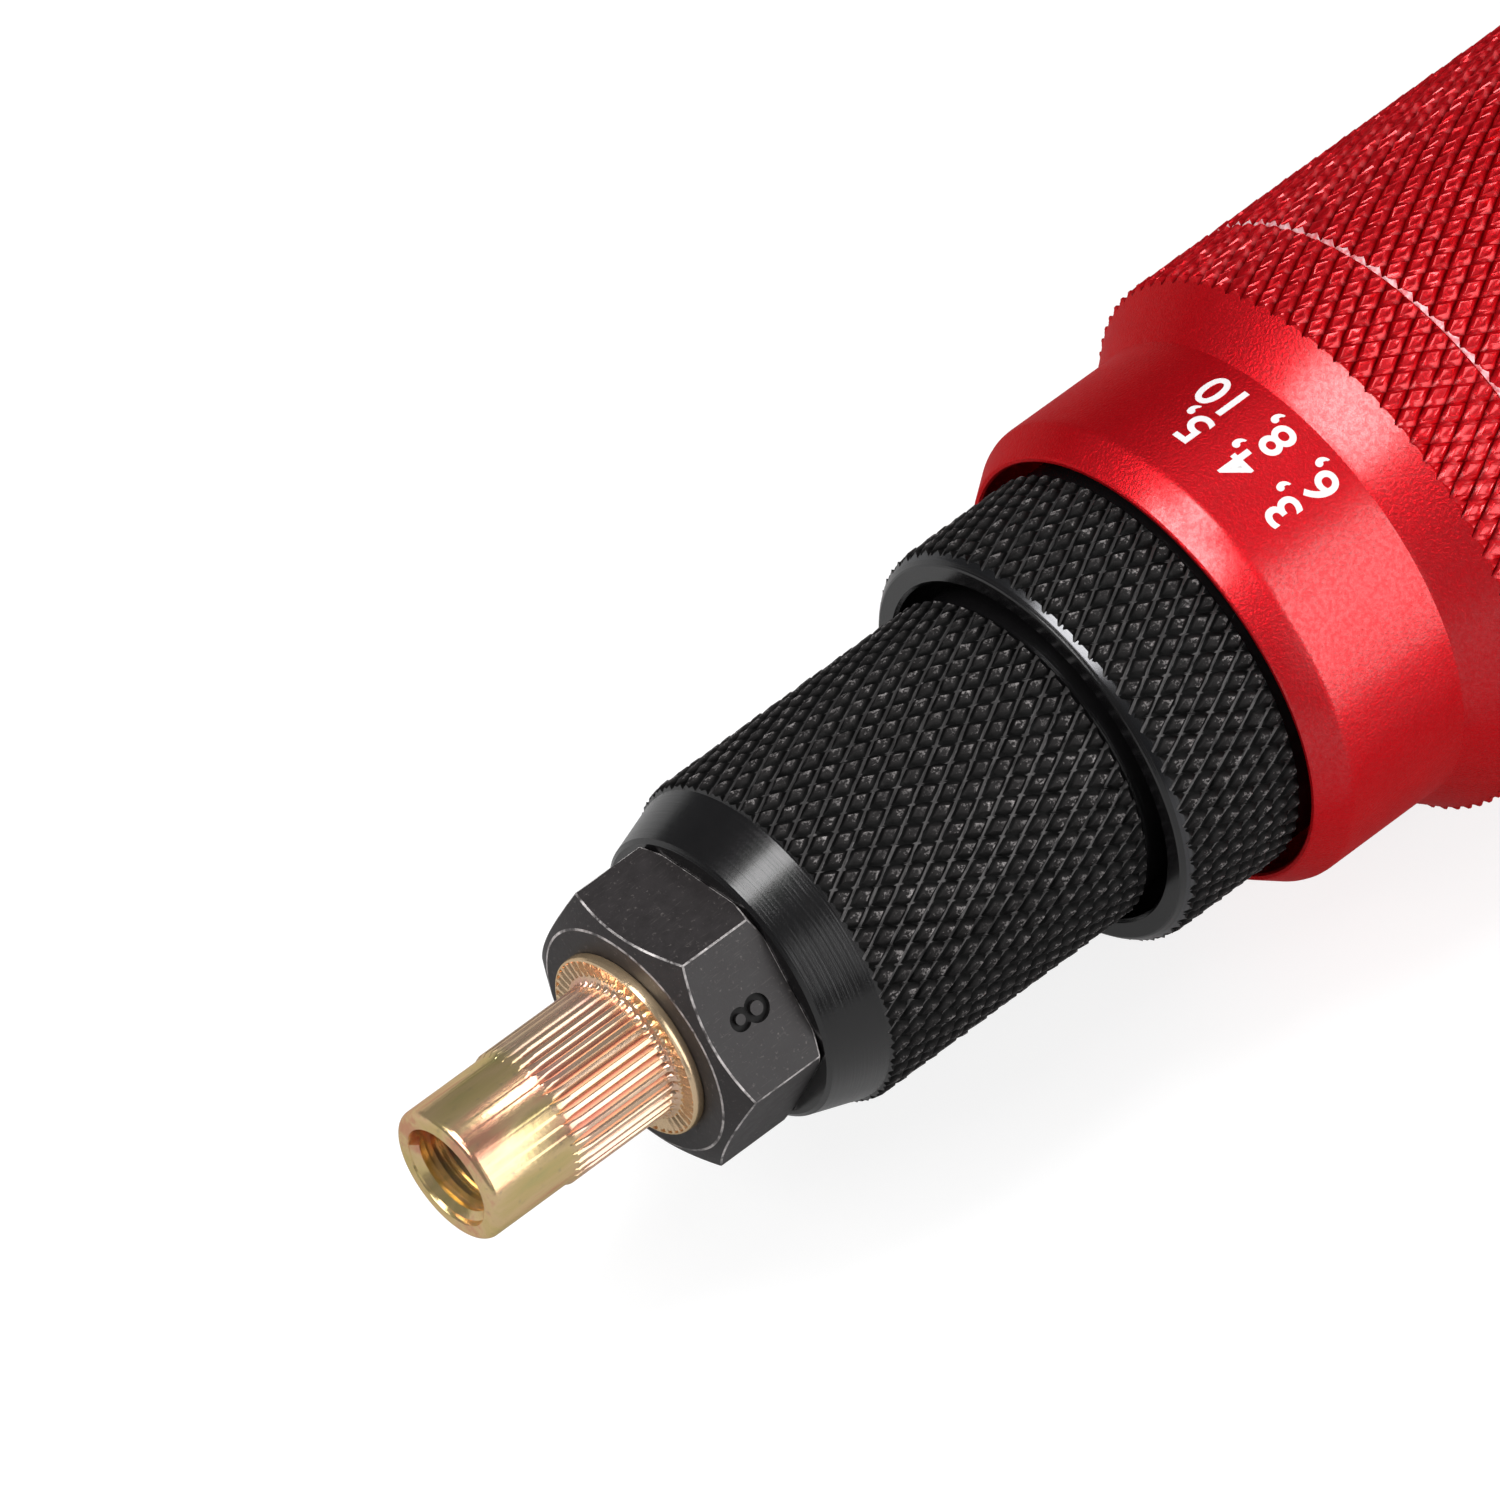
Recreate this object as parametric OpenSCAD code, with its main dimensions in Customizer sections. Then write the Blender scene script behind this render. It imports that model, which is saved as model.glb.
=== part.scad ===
// Rivet nut setting tool: a drill-driven attachment that pulls threaded inserts into sheet.
// Sizes are in mm. The tool lies along X with its nose towards -X, resting on its
// body and on the end of its side handle. X = 0 is the flange face that meets the sheet.

/* [View] */
// Sub-part to draw, or all of them

/* [Rivet nut] */
// Radius of the plain barrel
nut_r = 5.5; // [5.2:0.1:6.0]
// Length of the barrel in front of the flange
nut_len = 17.4; // [15:0.1:20]
// Length of the splined half, next to the flange
spline_len = 9.5; // [7:0.1:11]
// Height of the splines above the barrel
spline_h = 0.18; // [0.1:0.01:0.3]
// Radius of the flange
flange_r = 7.6; // [7:0.1:8.5]
// Thickness of the flange
flange_t = 1.0; // [0.8:0.1:1.8]

/* [Anvil] */
// Width of the anvil's hexagon across its flats
anvil_af = 20.4; // [18:0.1:21]
// Length of the hexagon
anvil_len = 8.2; // [7:0.1:10]
// Radius of the flat face the rivet nut sits on
anvil_face_r = 9.5; // [8.8:0.1:10]
// Angle of the hexagon about the tool's axis, in degrees
anvil_turn = 18.5; // [0:0.5:60]

/* [Nose housing] */
// Radius of the knurled nose
nose_r = 13.9; // [13.4:0.1:14.1]
// Radius at the front edge of the cone
nose_front_r = 11.9; // [11.8:0.1:12.6]
// Length of the cone
cone_len = 5.1; // [4:0.1:7]
// Length from the cone to the lock ring
nose_len = 25.9; // [22:0.1:32]

/* [Lock ring] */
// Radius of the lock ring over its knurl
ring_r = 17.1; // [16.6:0.1:17.4]
// Length of the lock ring
ring_len = 17.8; // [16:0.1:20]
// Radius of the counterbore round the nose
ring_bore_r = 14.6; // [14.4:0.1:15]

/* [Collar] */
// Radius of the smooth collar
collar_r = 20; // [19.6:0.1:21]
// Depth of the recess the lock ring enters
recess_depth = 6.3; // [5:0.1:8]
// Length of the bevel on the collar's lip
lip_len = 2.4; // [1.5:0.1:3]
// Length of the smooth collar behind the bevel
collar_len = 11.3; // [10:0.1:14]
// Length of the conical shoulder
shoulder_len = 4.0; // [3:0.1:6]
// Length of the first knurled band
band_len = 7.8; // [6:0.1:10]

/* [Main body] */
// Radius of the body over its knurl
body_r = 23.3; // [22.9:0.1:25]
// Length of the long knurled band
grip_len = 40.8; // [38:0.1:46]
// Depth of the smooth band that carries the side handle
groove_d = 1.0; // [0.6:0.1:1.4]

/* [Drive] */
// Width of the hexagonal shank across its flats
shank_af = 10; // [9:0.5:12]
// Length of the shank behind the rear cap
shank_len = 34; // [28:1:45]
// Pulling stroke
stroke = 8; // [5:0.5:8]

/* [Side handle] */
// Distance from the tool's axis to the outer end of the grip's rim
handle_len = 123; // [105:1:140]
// Radius of the grip's end rim
grip_r = 14; // [12:0.5:16]

/* [Fits] */
// Radial clearance of turning and sliding fits
run = 0.05; // [0.02:0.01:0.08]
// Radial clearance of screwed and pressed joints
snug = 0.02; // [0.01:0.01:0.03]

/* [Hidden] */
seg = 96;
c30 = cos(30);

// Stations along the axis, from the nose to the rear
x_mouth = -nut_len;
x_anvil = flange_t;
x_nose = x_anvil + anvil_len;
x_cone = x_nose + cone_len;
x_ring = x_cone + nose_len;
x_neck = x_ring - 1.2;
x_step = x_ring + 4.3;
x_floor = x_ring + ring_len;
x_lip = x_floor - recess_depth;
x_collar = x_lip + lip_len;
x_shoulder = x_collar + collar_len;
x_band = x_shoulder + shoulder_len;
x_seam = x_band + band_len;
x_thread = x_floor + 8;
x_tail = x_floor + 14;
x_spigot = x_seam + 9.8;
x_chamber = x_spigot + 1;
x_block = x_chamber + 1;
x_groove = x_seam + grip_len;
x_rib = x_groove;
x_thrust = x_rib + 5;
x_collar_s = x_thrust + 8;
x_race = x_thrust + 18;
x_rear = x_groove + 16;
x_cap = x_groove + 32;
x_cap_end = x_cap + 12;
x_end = x_cap_end + shank_len;
x_handle = x_groove + 8;

// Radii of hidden features
mandrel_r = 3.6;
shank_r = 3.9;
head_r = 7.2;
tube_bore = head_r + run;
tube_r = 8.7;
nose_bore = tube_r + 0.3;
screw_r = 7.0;
tail_r = tube_r + 3.4;
ring_seat = tail_r - 2.1;
ring_wire = 0.72;
seal_r = ring_seat + 2 * ring_wire + 0.06;
recess_r = ring_r + 0.8;
spigot_r = 20.0;
groove_r = body_r - groove_d;
chamber_r = 16.5;
cap_thread_r = 18.5;
journal_r = 7.5;
bearing_r = 15.5;
bearing_w = 8;
race_mid = (journal_r + bearing_r) / 2;
washer_r = 16.2;
key_w = 4;
key_top = chamber_r + 1.6;
key_foot = chamber_r - 3;
grip_start = 40;
grip_waist = grip_r - 2.6;
rod_af = 6;
stud_r = 3.95;
x_ret = x_nose + 10.3;
x_head = x_ret + 6.5;
x_socket = x_head + 20;
x_screw = x_block - 3;
handle_tilt = asin(body_r / norm([handle_len, grip_r])) - atan2(grip_r, handle_len);

red = [0.72, 0.05, 0.08];
black = [0.05, 0.05, 0.06];
steel = [0.62, 0.62, 0.64];
gold = [0.80, 0.62, 0.32];
dark = [0.10, 0.10, 0.11];

// A turned piece about the tool's axis, from points written as [station, radius]
module turn(pts) {
    rotate([0, 90, 0])
        rotate_extrude($fn = seg)
            polygon([for (p = pts) [p[1], p[0]]]);
}

// A turned hollow piece: outer points front to rear, inner points rear to front
module shell(outer, inner) turn(concat(outer, inner));

// Points of a quarter round between two stations, centre at [x, r]
function arc(x, r, rad, a, b, n = 6) =
    [for (i = [0:n]) let (t = a + (b - a) * i / n) [x + rad * cos(t), r + rad * sin(t)]];

// A hexagonal bar along the axis, corners at the given turn
module hex_bar(x, len, af, turn_deg = 0)
    translate([x, 0, 0]) rotate([0, 90, 0]) rotate([0, 0, turn_deg])
        cylinder(h = len, r = af / 2 / c30, $fn = 6);

// Places a piece built along Z on the side handle's line
module on_handle() translate([x_handle, 0, 0]) rotate([90 + handle_tilt, 0, 0]) children();

// Rivet nut
module rivet_nut() color(gold) {
    x_spl = -spline_len;
    shell(
        concat([[x_mouth, 4.2]],
            arc(x_mouth + 0.6, nut_r - 0.6, 0.6, 180, 90),
            [[x_spl, nut_r], [x_spl + 0.25, nut_r + spline_h], [-1.5, nut_r + spline_h]],
            [[-1.3, nut_r + 0.55], [-0.5, nut_r + 0.6], [0, nut_r + 0.75], [0, flange_r - 0.15]],
            [[0.15, flange_r], [flange_t - 0.15, flange_r], [flange_t, flange_r - 0.15]]),
        [[flange_t, 4.5], [-8.5, 4.5], [-9.0, mandrel_r + run],
            [x_mouth + 0.55, mandrel_r + run]]);
}

// Hexagonal anvil with its screwed spigot
module anvil() color(black) {
    clear_r = anvil_af / 2 / c30 + 1;
    back_r = anvil_af / 2 + 0.7;
    bevel = (clear_r - anvil_face_r) * tan(31);
    back = (clear_r - back_r) * tan(31);
    difference() {
        union() {
            intersection() {
                hex_bar(x_anvil, anvil_len, anvil_af, anvil_turn);
                turn([[x_anvil, 0], [x_anvil, anvil_face_r], [x_anvil + bevel, clear_r],
                    [x_nose - back, clear_r], [x_nose, back_r], [x_nose, 0]]);
            }
            turn([[x_nose - 0.5, 0], [x_nose - 0.5, 8], [x_nose + 7.2, 8], [x_nose + 7.8, 7.4],
                [x_nose + 7.8, 0]]);
        }
        turn([[x_anvil - 1, 0], [x_anvil - 1, shank_r + 0.3], [x_nose + 9, shank_r + 0.3],
            [x_nose + 9, 0]]);
    }
}

// Knurled nose housing with its cone and adjusting thread
module nose_housing() color(black) {
    slope = (nose_r - nose_front_r) / cone_len;
    shell(
        [[x_nose, nose_front_r - 0.25], [x_nose + 0.25, nose_front_r + 0.25 * slope],
            [x_cone, nose_r], [x_neck, nose_r], [x_neck + 0.6, nose_r - 0.6],
            [x_step, nose_r - 0.6], [x_step, tail_r - 0.6], [x_step + 1, tail_r - 0.6],
            [x_step + 1.5, tail_r], [x_thread - 0.6, tail_r], [x_thread, tail_r - 0.9],
            [x_tail - 4, tail_r - 0.9], [x_tail - 4, ring_seat], [x_tail - 2, ring_seat],
            [x_tail - 2, tail_r - 0.9], [x_tail - 0.4, tail_r - 0.9], [x_tail, tail_r - 1.3]],
        [[x_tail, nose_bore + 0.3], [x_tail - 0.3, nose_bore], [x_nose + 9.3, nose_bore],
            [x_nose + 9.3, 5],
            [x_nose + 8, 5], [x_nose + 8, 8 + snug], [x_nose + 0.4, 8 + snug],
            [x_nose, 8.4]]);
}

// Lock ring that jams the nose housing
module lock_ring() color(black)
    shell(
        concat([[x_ring, ring_bore_r + 0.25], [x_ring, ring_r - 1.3]],
            arc(x_ring + 1.3, ring_r - 1.3, 1.3, 180, 90),
            [[x_lip - 0.4, ring_r], [x_lip, ring_r - 0.4], [x_floor - 0.8, ring_r - 0.4],
            [x_floor, ring_r - 1.2]]),
        [[x_floor, tail_r + run + 0.4], [x_floor - 0.4, tail_r + run],
            [x_ring + 6.8, tail_r + run], [x_ring + 6.8, ring_bore_r],
            [x_ring + 0.25, ring_bore_r]]);

// Front housing: lip, smooth collar, shoulder and first knurled band
module front_housing() color(red)
    shell(
        [[x_lip, recess_r + 0.15], [x_lip, recess_r + 0.5], [x_collar - 0.2, collar_r - 0.08],
            [x_collar + 0.3, collar_r], [x_shoulder, collar_r], [x_band, body_r],
            [x_seam - 0.3, body_r], [x_seam, body_r - 0.3], [x_seam, spigot_r],
            [x_spigot - 0.6, spigot_r], [x_spigot, spigot_r - 0.6]],
        [[x_spigot, seal_r], [x_thread + 0.3, seal_r], [x_thread, tail_r + run],
            [x_floor + 0.4, tail_r + run], [x_floor, tail_r + run + 0.4], [x_floor, recess_r],
            [x_lip + 0.15, recess_r]]);

// Main body: long knurled band, smooth handle band, rear band and keyed chamber
module main_body() color(red)
    difference() {
        shell(
            [[x_seam, body_r - 0.3], [x_seam + 0.3, body_r], [x_groove - 0.5, body_r],
                [x_groove, body_r - 0.5], [x_groove, groove_r], [x_rear, groove_r],
                [x_rear, body_r - 0.5], [x_rear + 0.5, body_r], [x_cap - 1.5, body_r],
                [x_cap, body_r - 1.2]],
            [[x_cap, cap_thread_r], [x_race - 2, cap_thread_r], [x_race - 2, washer_r + 0.8],
                [x_thrust, washer_r + 0.8], [x_thrust, 10.5], [x_rib, 10.5], [x_rib, chamber_r],
                [x_chamber, chamber_r], [x_chamber, spigot_r + snug],
                [x_seam, spigot_r + snug]]);
        for (s = [-1, 1])
            translate([x_chamber - 0.01, -key_w / 2 - run, s > 0 ? chamber_r - 1.5 : -key_top - 0.3])
                cube([x_rib - x_chamber + 0.01, key_w + 2 * run, key_top - chamber_r + 1.8]);
        on_handle() {
            translate([0, 0, 14]) cylinder(h = 12, r = stud_r + snug, $fn = seg);
            translate([0, 0, groove_r - 0.8]) cylinder(h = 6, r = 7.5, $fn = seg);
        }
        rotate([-60, 0, 0]) translate([x_cap - 6, 0, 16])
            cylinder(h = 10, r = 2 + snug, $fn = 48);
    }

// Rear cap with the bearing seat and seal pocket
module rear_cap() color(red)
    shell(
        [[x_race - 1.5, cap_thread_r - snug - 0.6], [x_race - 0.9, cap_thread_r - snug],
            [x_cap, cap_thread_r - snug], [x_cap, body_r - 1.2], [x_cap + 3.5, body_r - 1.8],
            [x_cap + 4.3, body_r - 2.6], [x_cap_end - 0.8, 14.6], [x_cap_end, 13.8]],
        [[x_cap_end, 8.4], [x_cap + 7, 8.4], [x_cap + 7, 10.5], [x_cap + 3, 10.5],
            [x_cap + 3, 9.8], [x_race + bearing_w, 9.8], [x_race + bearing_w, bearing_r],
            [x_race - 1.5, bearing_r]]);

// Grub screw that locks the rear cap
module cap_grub_screw() color(dark)
    rotate([-60, 0, 0]) translate([x_cap - 6, 0, cap_thread_r])
        difference() {
            cylinder(h = body_r - cap_thread_r - 0.5, r = 2, $fn = 48);
            translate([0, 0, body_r - cap_thread_r - 2]) cylinder(h = 3, r = 1.15, $fn = 6);
        }

// Rear ball bearing
module bearing_outer() color(steel)
    shell([[x_race, bearing_r - 0.3], [x_race + 0.3, bearing_r],
            [x_race + bearing_w - 0.3, bearing_r], [x_race + bearing_w, bearing_r - 0.3]],
        [[x_race + bearing_w, race_mid + 1.7], [x_race, race_mid + 1.7]]);

module bearing_inner() color(steel)
    shell([[x_race, race_mid - 1.8], [x_race + bearing_w, race_mid - 1.8]],
        [[x_race + bearing_w, journal_r + snug], [x_race, journal_r + snug]]);

module bearing_balls() color(steel)
    for (i = [0:8]) rotate([i * 40, 0, 0]) translate([x_race + bearing_w / 2, 0, race_mid])
        sphere(r = 1.7, $fn = 48);

// Thrust bearing that takes the pulling load
module thrust_washer_housing() color(steel)
    shell([[x_thrust, washer_r], [x_thrust + 2, washer_r]],
        [[x_thrust + 2, 10.4], [x_thrust, 10.4]]);

module thrust_washer_shaft() color(steel)
    shell([[x_thrust + 6, washer_r - 0.4], [x_thrust + 8, washer_r - 0.4]],
        [[x_thrust + 8, 9 + snug], [x_thrust + 6, 9 + snug]]);

module thrust_cage() color(gold)
    difference() {
        shell([[x_thrust + 3, washer_r - 0.8], [x_thrust + 5, washer_r - 0.8]],
            [[x_thrust + 5, 10.2], [x_thrust + 3, 10.2]]);
        for (i = [0:11]) rotate([i * 30, 0, 0]) translate([x_thrust + 2, 0, 12.8])
            rotate([0, 90, 0]) cylinder(h = 4, r = 2, $fn = 48);
    }

module thrust_balls() color(steel)
    for (i = [0:11]) rotate([i * 30, 0, 0]) translate([x_thrust + 4, 0, 12.8])
        sphere(r = 1.98, $fn = 48);

module shaft_seal() color(dark)
    shell([[x_cap + 3, 10.48], [x_cap + 7, 10.48]],
        [[x_cap + 7, journal_r - 0.15], [x_cap + 3, journal_r - 0.15]]);

module shaft_circlip() color(dark)
    difference() {
        shell([[x_race + bearing_w, 9.2], [x_race + bearing_w + 1.1, 9.2]],
            [[x_race + bearing_w + 1.1, 6.82], [x_race + bearing_w, 6.82]]);
        translate([x_race + 7, -1.2, 6]) cube([3, 2.4, 5]);
    }

// Drive shaft: hexagonal shank, thrust collar and pulling screw
module drive_shaft() color(steel)
    difference() {
        union() {
            turn([[x_screw, 0], [x_screw, screw_r - 0.8], [x_screw + 0.8, screw_r],
                [x_thrust + 1, screw_r], [x_thrust + 1, 9], [x_collar_s, 9],
                [x_collar_s, 14], [x_collar_s + 4.5, 14], [x_collar_s + 5, 13.5],
                [x_collar_s + 5, 9], [x_race, 9], [x_race, journal_r],
                [x_race + bearing_w, journal_r], [x_race + bearing_w, 6.8],
                [x_race + bearing_w + 1.1, 6.8], [x_race + bearing_w + 1.1, journal_r - 0.2],
                [x_cap_end - 1, journal_r - 0.2],
                [x_cap_end - 0.4, journal_r - 0.8], [x_cap_end - 0.4, 0]]);
            difference() {
                intersection() {
                    hex_bar(x_cap_end - 1, shank_len + 1, shank_af, 30);
                    turn([[x_cap_end - 2, 0], [x_cap_end - 2, 8], [x_end - 1.2, shank_af / 2 + 1.2],
                        [x_end, shank_af / 2 - 0.4], [x_end, 0]]);
                }
                shell([[x_end - 11, 9], [x_end - 8, 9]],
                    [[x_end - 8, shank_af / 2 - 0.3], [x_end - 11, shank_af / 2 - 0.3]]);
            }
        }
        hex_bar(x_screw - 1, 13, rod_af + 2 * snug, 0);
    }

// Hexagonal rod that turns the mandrel
module drive_rod() color(steel)
    hex_bar(x_socket - 6, x_screw + 11 - x_socket + 6, rod_af, 0);

// Draw carriage: tube in the nose, screwed block behind
module carriage() color(steel)
    difference() {
        shell(
            [[x_ret + 2.5, tube_r], [x_block, tube_r], [x_block, chamber_r - run - 0.5],
                [x_block + 0.5, chamber_r - run], [x_block + 19.5, chamber_r - run],
                [x_block + 20, chamber_r - run - 0.5]],
            [[x_block + 20, screw_r + run], [x_block, screw_r + run], [x_block, tube_bore],
                [x_ret + 2.5, tube_bore]]);
        for (s = [-1, 1])
            translate([x_block + 2 - snug, -key_w / 2 - snug, s > 0 ? key_foot : -key_foot - 5])
                cube([16 + 2 * snug, key_w + 2 * snug, 5]);
    }

module guide_key_top() color(steel)
    translate([x_block + 2, -key_w / 2, key_foot]) cube([16, key_w, key_top - key_foot]);

module guide_key_bottom() color(steel)
    translate([x_block + 2, -key_w / 2, -key_top]) cube([16, key_w, key_top - key_foot]);

module mandrel_retainer() color(dark)
    shell([[x_ret, tube_r - 0.6], [x_ret + 0.6, tube_r], [x_ret + 2.5, tube_r],
            [x_ret + 2.5, tube_bore - snug], [x_head, tube_bore - snug]],
        [[x_head, shank_r + 0.3], [x_ret, shank_r + 0.3]]);

// Threaded mandrel with its socket head
module mandrel() color(dark)
    difference() {
        turn([[x_mouth + 4.9, 0], [x_mouth + 4.9, mandrel_r - 0.6], [x_mouth + 5.5, mandrel_r],
            [x_anvil + 1, mandrel_r], [x_anvil + 1.3, shank_r], [x_head, shank_r],
            [x_head, head_r], [x_socket - 0.5, head_r], [x_socket, head_r - 0.5],
            [x_socket, 0]]);
        hex_bar(x_socket - 16, 17, rod_af + 2 * run, 0);
    }

module tail_o_ring() color(dark)
    rotate([0, 90, 0]) rotate_extrude($fn = seg)
        translate([ring_seat + 0.03 + ring_wire, x_tail - 3]) circle(r = ring_wire, $fn = 48);

// Side handle
module handle_rod() color(steel)
    on_handle() rotate_extrude($fn = seg)
        polygon([[0, 17.4], [3.4, 17.4], [stud_r, 18], [stud_r, groove_r + 5.2], [5, groove_r + 5.2],
            [5, handle_len - 5.5], [4.5, handle_len - 5], [0, handle_len - 5]]);

module handle_nut() color(dark)
    on_handle() difference() {
        intersection() {
            translate([0, 0, groove_r - 0.8]) cylinder(h = 6, r = 13 / 2 / c30, $fn = 6);
            translate([0, 0, groove_r - 0.8]) rotate_extrude($fn = seg)
                polygon([[0, 0], [7.4, 0], [7.4, 5.4], [6.4, 6], [0, 6]]);
        }
        translate([0, 0, groove_r - 1.8]) cylinder(h = 8, r = stud_r + snug, $fn = seg);
    }

module handle_grip() color(dark)
    on_handle() rotate_extrude($fn = seg)
        polygon(concat(
            [[5 + snug, grip_start], [grip_r - 2.4, grip_start], [grip_r - 1.4, grip_start + 1],
                [grip_r - 1.4, grip_start + 4], [grip_waist, grip_start + 6]],
            [for (i = [0:10]) [grip_waist + 1.2 * sin(i * 18),
                grip_start + 6 + (handle_len - grip_start - 18) * i / 10]],
            [[grip_r - 0.8, handle_len - 8], [grip_r, handle_len - 6.5], [grip_r, handle_len],
            [grip_r - 1.2, handle_len + 1.2], [9 + snug, handle_len + 1.2],
            [9 + snug, handle_len - 1], [5 + snug, handle_len - 1]]));

module handle_cap() color(dark)
    on_handle() rotate_extrude($fn = seg)
        polygon([[0, handle_len - 1], [9, handle_len - 1], [9, handle_len + 1.5],
            [8, handle_len + 2.2], [0, handle_len + 2.2]]);

front_housing();
main_body();
rear_cap();
cap_grub_screw();
bearing_outer();
thrust_washer_housing();
shaft_seal();
handle_rod();
handle_nut();
handle_grip();
handle_cap();
drive_shaft();
bearing_inner();
shaft_circlip();
thrust_washer_shaft();
drive_rod();
thrust_cage();
thrust_balls();
bearing_balls();
carriage();
guide_key_top();
guide_key_bottom();
mandrel_retainer();
mandrel();
tail_o_ring();
nose_housing();
anvil();
lock_ring();
rivet_nut();
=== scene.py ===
# %% [markdown]
# # A rivet nut setting tool, seen nose first
# The tool is a drill attachment. A rivet nut sits on its nose, and a screw inside the red
# body pulls the nut's thread back until the splined half folds over the sheet. This lesson
# dresses the CAD model of the tool: knurling, splines, worn edges and metal finishes.
# All lengths are in metres, and the tool lies along X with its nose towards -X.

# %% Load the CAD frame
import math
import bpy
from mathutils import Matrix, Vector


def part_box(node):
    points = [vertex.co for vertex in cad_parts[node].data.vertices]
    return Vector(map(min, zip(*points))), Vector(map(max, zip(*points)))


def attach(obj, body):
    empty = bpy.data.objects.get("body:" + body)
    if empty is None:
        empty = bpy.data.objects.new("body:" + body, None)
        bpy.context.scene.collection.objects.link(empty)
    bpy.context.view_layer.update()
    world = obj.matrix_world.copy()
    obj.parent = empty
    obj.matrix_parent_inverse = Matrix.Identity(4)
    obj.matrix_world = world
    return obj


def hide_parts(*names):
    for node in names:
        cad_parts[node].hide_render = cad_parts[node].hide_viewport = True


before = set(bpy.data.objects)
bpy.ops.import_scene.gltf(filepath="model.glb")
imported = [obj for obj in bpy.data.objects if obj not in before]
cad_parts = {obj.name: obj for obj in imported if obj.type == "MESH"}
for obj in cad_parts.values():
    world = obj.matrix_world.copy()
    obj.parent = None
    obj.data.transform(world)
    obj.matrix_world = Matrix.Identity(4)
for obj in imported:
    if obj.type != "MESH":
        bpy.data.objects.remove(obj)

from types import SimpleNamespace

import bmesh
import bpy
from mathutils import Matrix, Vector

MM = 0.001
scene = bpy.context.scene
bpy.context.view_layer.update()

# %% [markdown]
# ## Stations of the tool
# Every piece is turned on a lathe, so it is a row of stations along X, each with a radius.
# The stations come from the boxes of the CAD nodes, so the dressed pieces stay where the
# solids are, also when those change.

# %% Read the stations from the CAD boxes
nut_lo, nut_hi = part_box("rivet_nut")
nose_lo, nose_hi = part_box("nose_housing")
ring_lo, ring_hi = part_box("lock_ring")
front_lo, front_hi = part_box("front_housing")
body_lo, body_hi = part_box("main_body")
mandrel_lo, mandrel_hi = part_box("mandrel")

x_mouth = nut_lo.x
x_anvil = nut_hi.x
x_nose = nose_lo.x
x_ring = ring_lo.x
x_floor = ring_hi.x
x_lip = front_lo.x
x_spigot = front_hi.x
x_seam = body_lo.x
x_cap = body_hi.x
x_tail = nose_hi.x
nose_r = nose_hi.z
ring_r = ring_hi.z
body_r = front_hi.z
flange_r = nut_hi.z
print("nose", x_nose, "ring", x_ring, "lip", x_lip, "seam", x_seam, "cap", x_cap)

# %% [markdown]
# ## One class for sums on sockets
# Shader and geometry trees do their sums with Math nodes, which hide the formula. A small
# class that wraps a socket and answers to + - * / lets a formula stay a formula.

# %% Sockets that can be added and multiplied
class Wire:
    """A socket of a node tree that can be used in a sum."""

    def __init__(self, tree, socket):
        self.tree = tree
        self.socket = socket

    def ramp(self, low, high):
        """0 below low, 1 above high, straight in between."""
        return Bench(self.tree).add("MapRange", {0: self, 1: low, 2: high})


def plug(tree, socket, value):
    """Puts a value, or a link from a wrapped socket, into a socket. Colours are opaque."""
    if isinstance(value, Wire):
        tree.links.new(value.socket, socket)
    elif value is not None:
        opaque = socket.type == "RGBA" and len(value) == 3
        socket.default_value = (*value, 1.0) if opaque else value


def calc(operation, *values):
    """A Math node on these values. One at least is a wire."""
    tree = next(value.tree for value in values if isinstance(value, Wire))
    return Bench(tree).add("Math", dict(enumerate(values)), {"operation": operation})


signs = {"add": "ADD", "sub": "SUBTRACT", "mul": "MULTIPLY", "truediv": "DIVIDE"}
for sign, operation in signs.items():
    setattr(Wire, f"__{sign}__", lambda one, two, kind=operation: calc(kind, one, two))
    setattr(Wire, f"__r{sign}__", lambda one, two, kind=operation: calc(kind, two, one))


class Bench:
    """A node tree with one way to add a node: its type, its inputs, then its settings.
    A bare type, such as Math, is a shader node."""

    def __init__(self, tree):
        self.tree = tree

    def add(self, kind, inputs=None, settings=None, out=0):
        node = self.tree.nodes.new(kind if "Node" in kind else "ShaderNode" + kind)
        for key, value in (settings or {}).items():
            setattr(node, key, value)
        for key, value in (inputs or {}).items():
            plug(self.tree, node.inputs[key], value)
        return Wire(self.tree, node.outputs[out])

    def mix(self, first, second, share):
        """One colour turning into another."""
        return self.add("Mix", {0: share, 6: first, 7: second}, {"data_type": "RGBA"}, 2)

    def parts(self, vector):
        """The three parts of a vector."""
        x = self.add("SeparateXYZ", {0: vector})
        return [Wire(self.tree, socket) for socket in x.socket.node.outputs]

    def joined(self, x, y, z):
        return self.add("CombineXYZ", {0: x, 1: y, 2: z})

    def scaled(self, vector, scale):
        return self.add("VectorMath", {0: vector, "Scale": scale}, {"operation": "SCALE"})


print("sums on sockets are ready")

# %% [markdown]
# ## Where a point is on a turned piece
# Most marks on this tool follow the lathe: turning lines run round the axis, wear sits on
# what stands out furthest. So a finish needs a point's station along the axis and its
# distance from it. Both come from the Object coordinates, which move with the piece.

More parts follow.
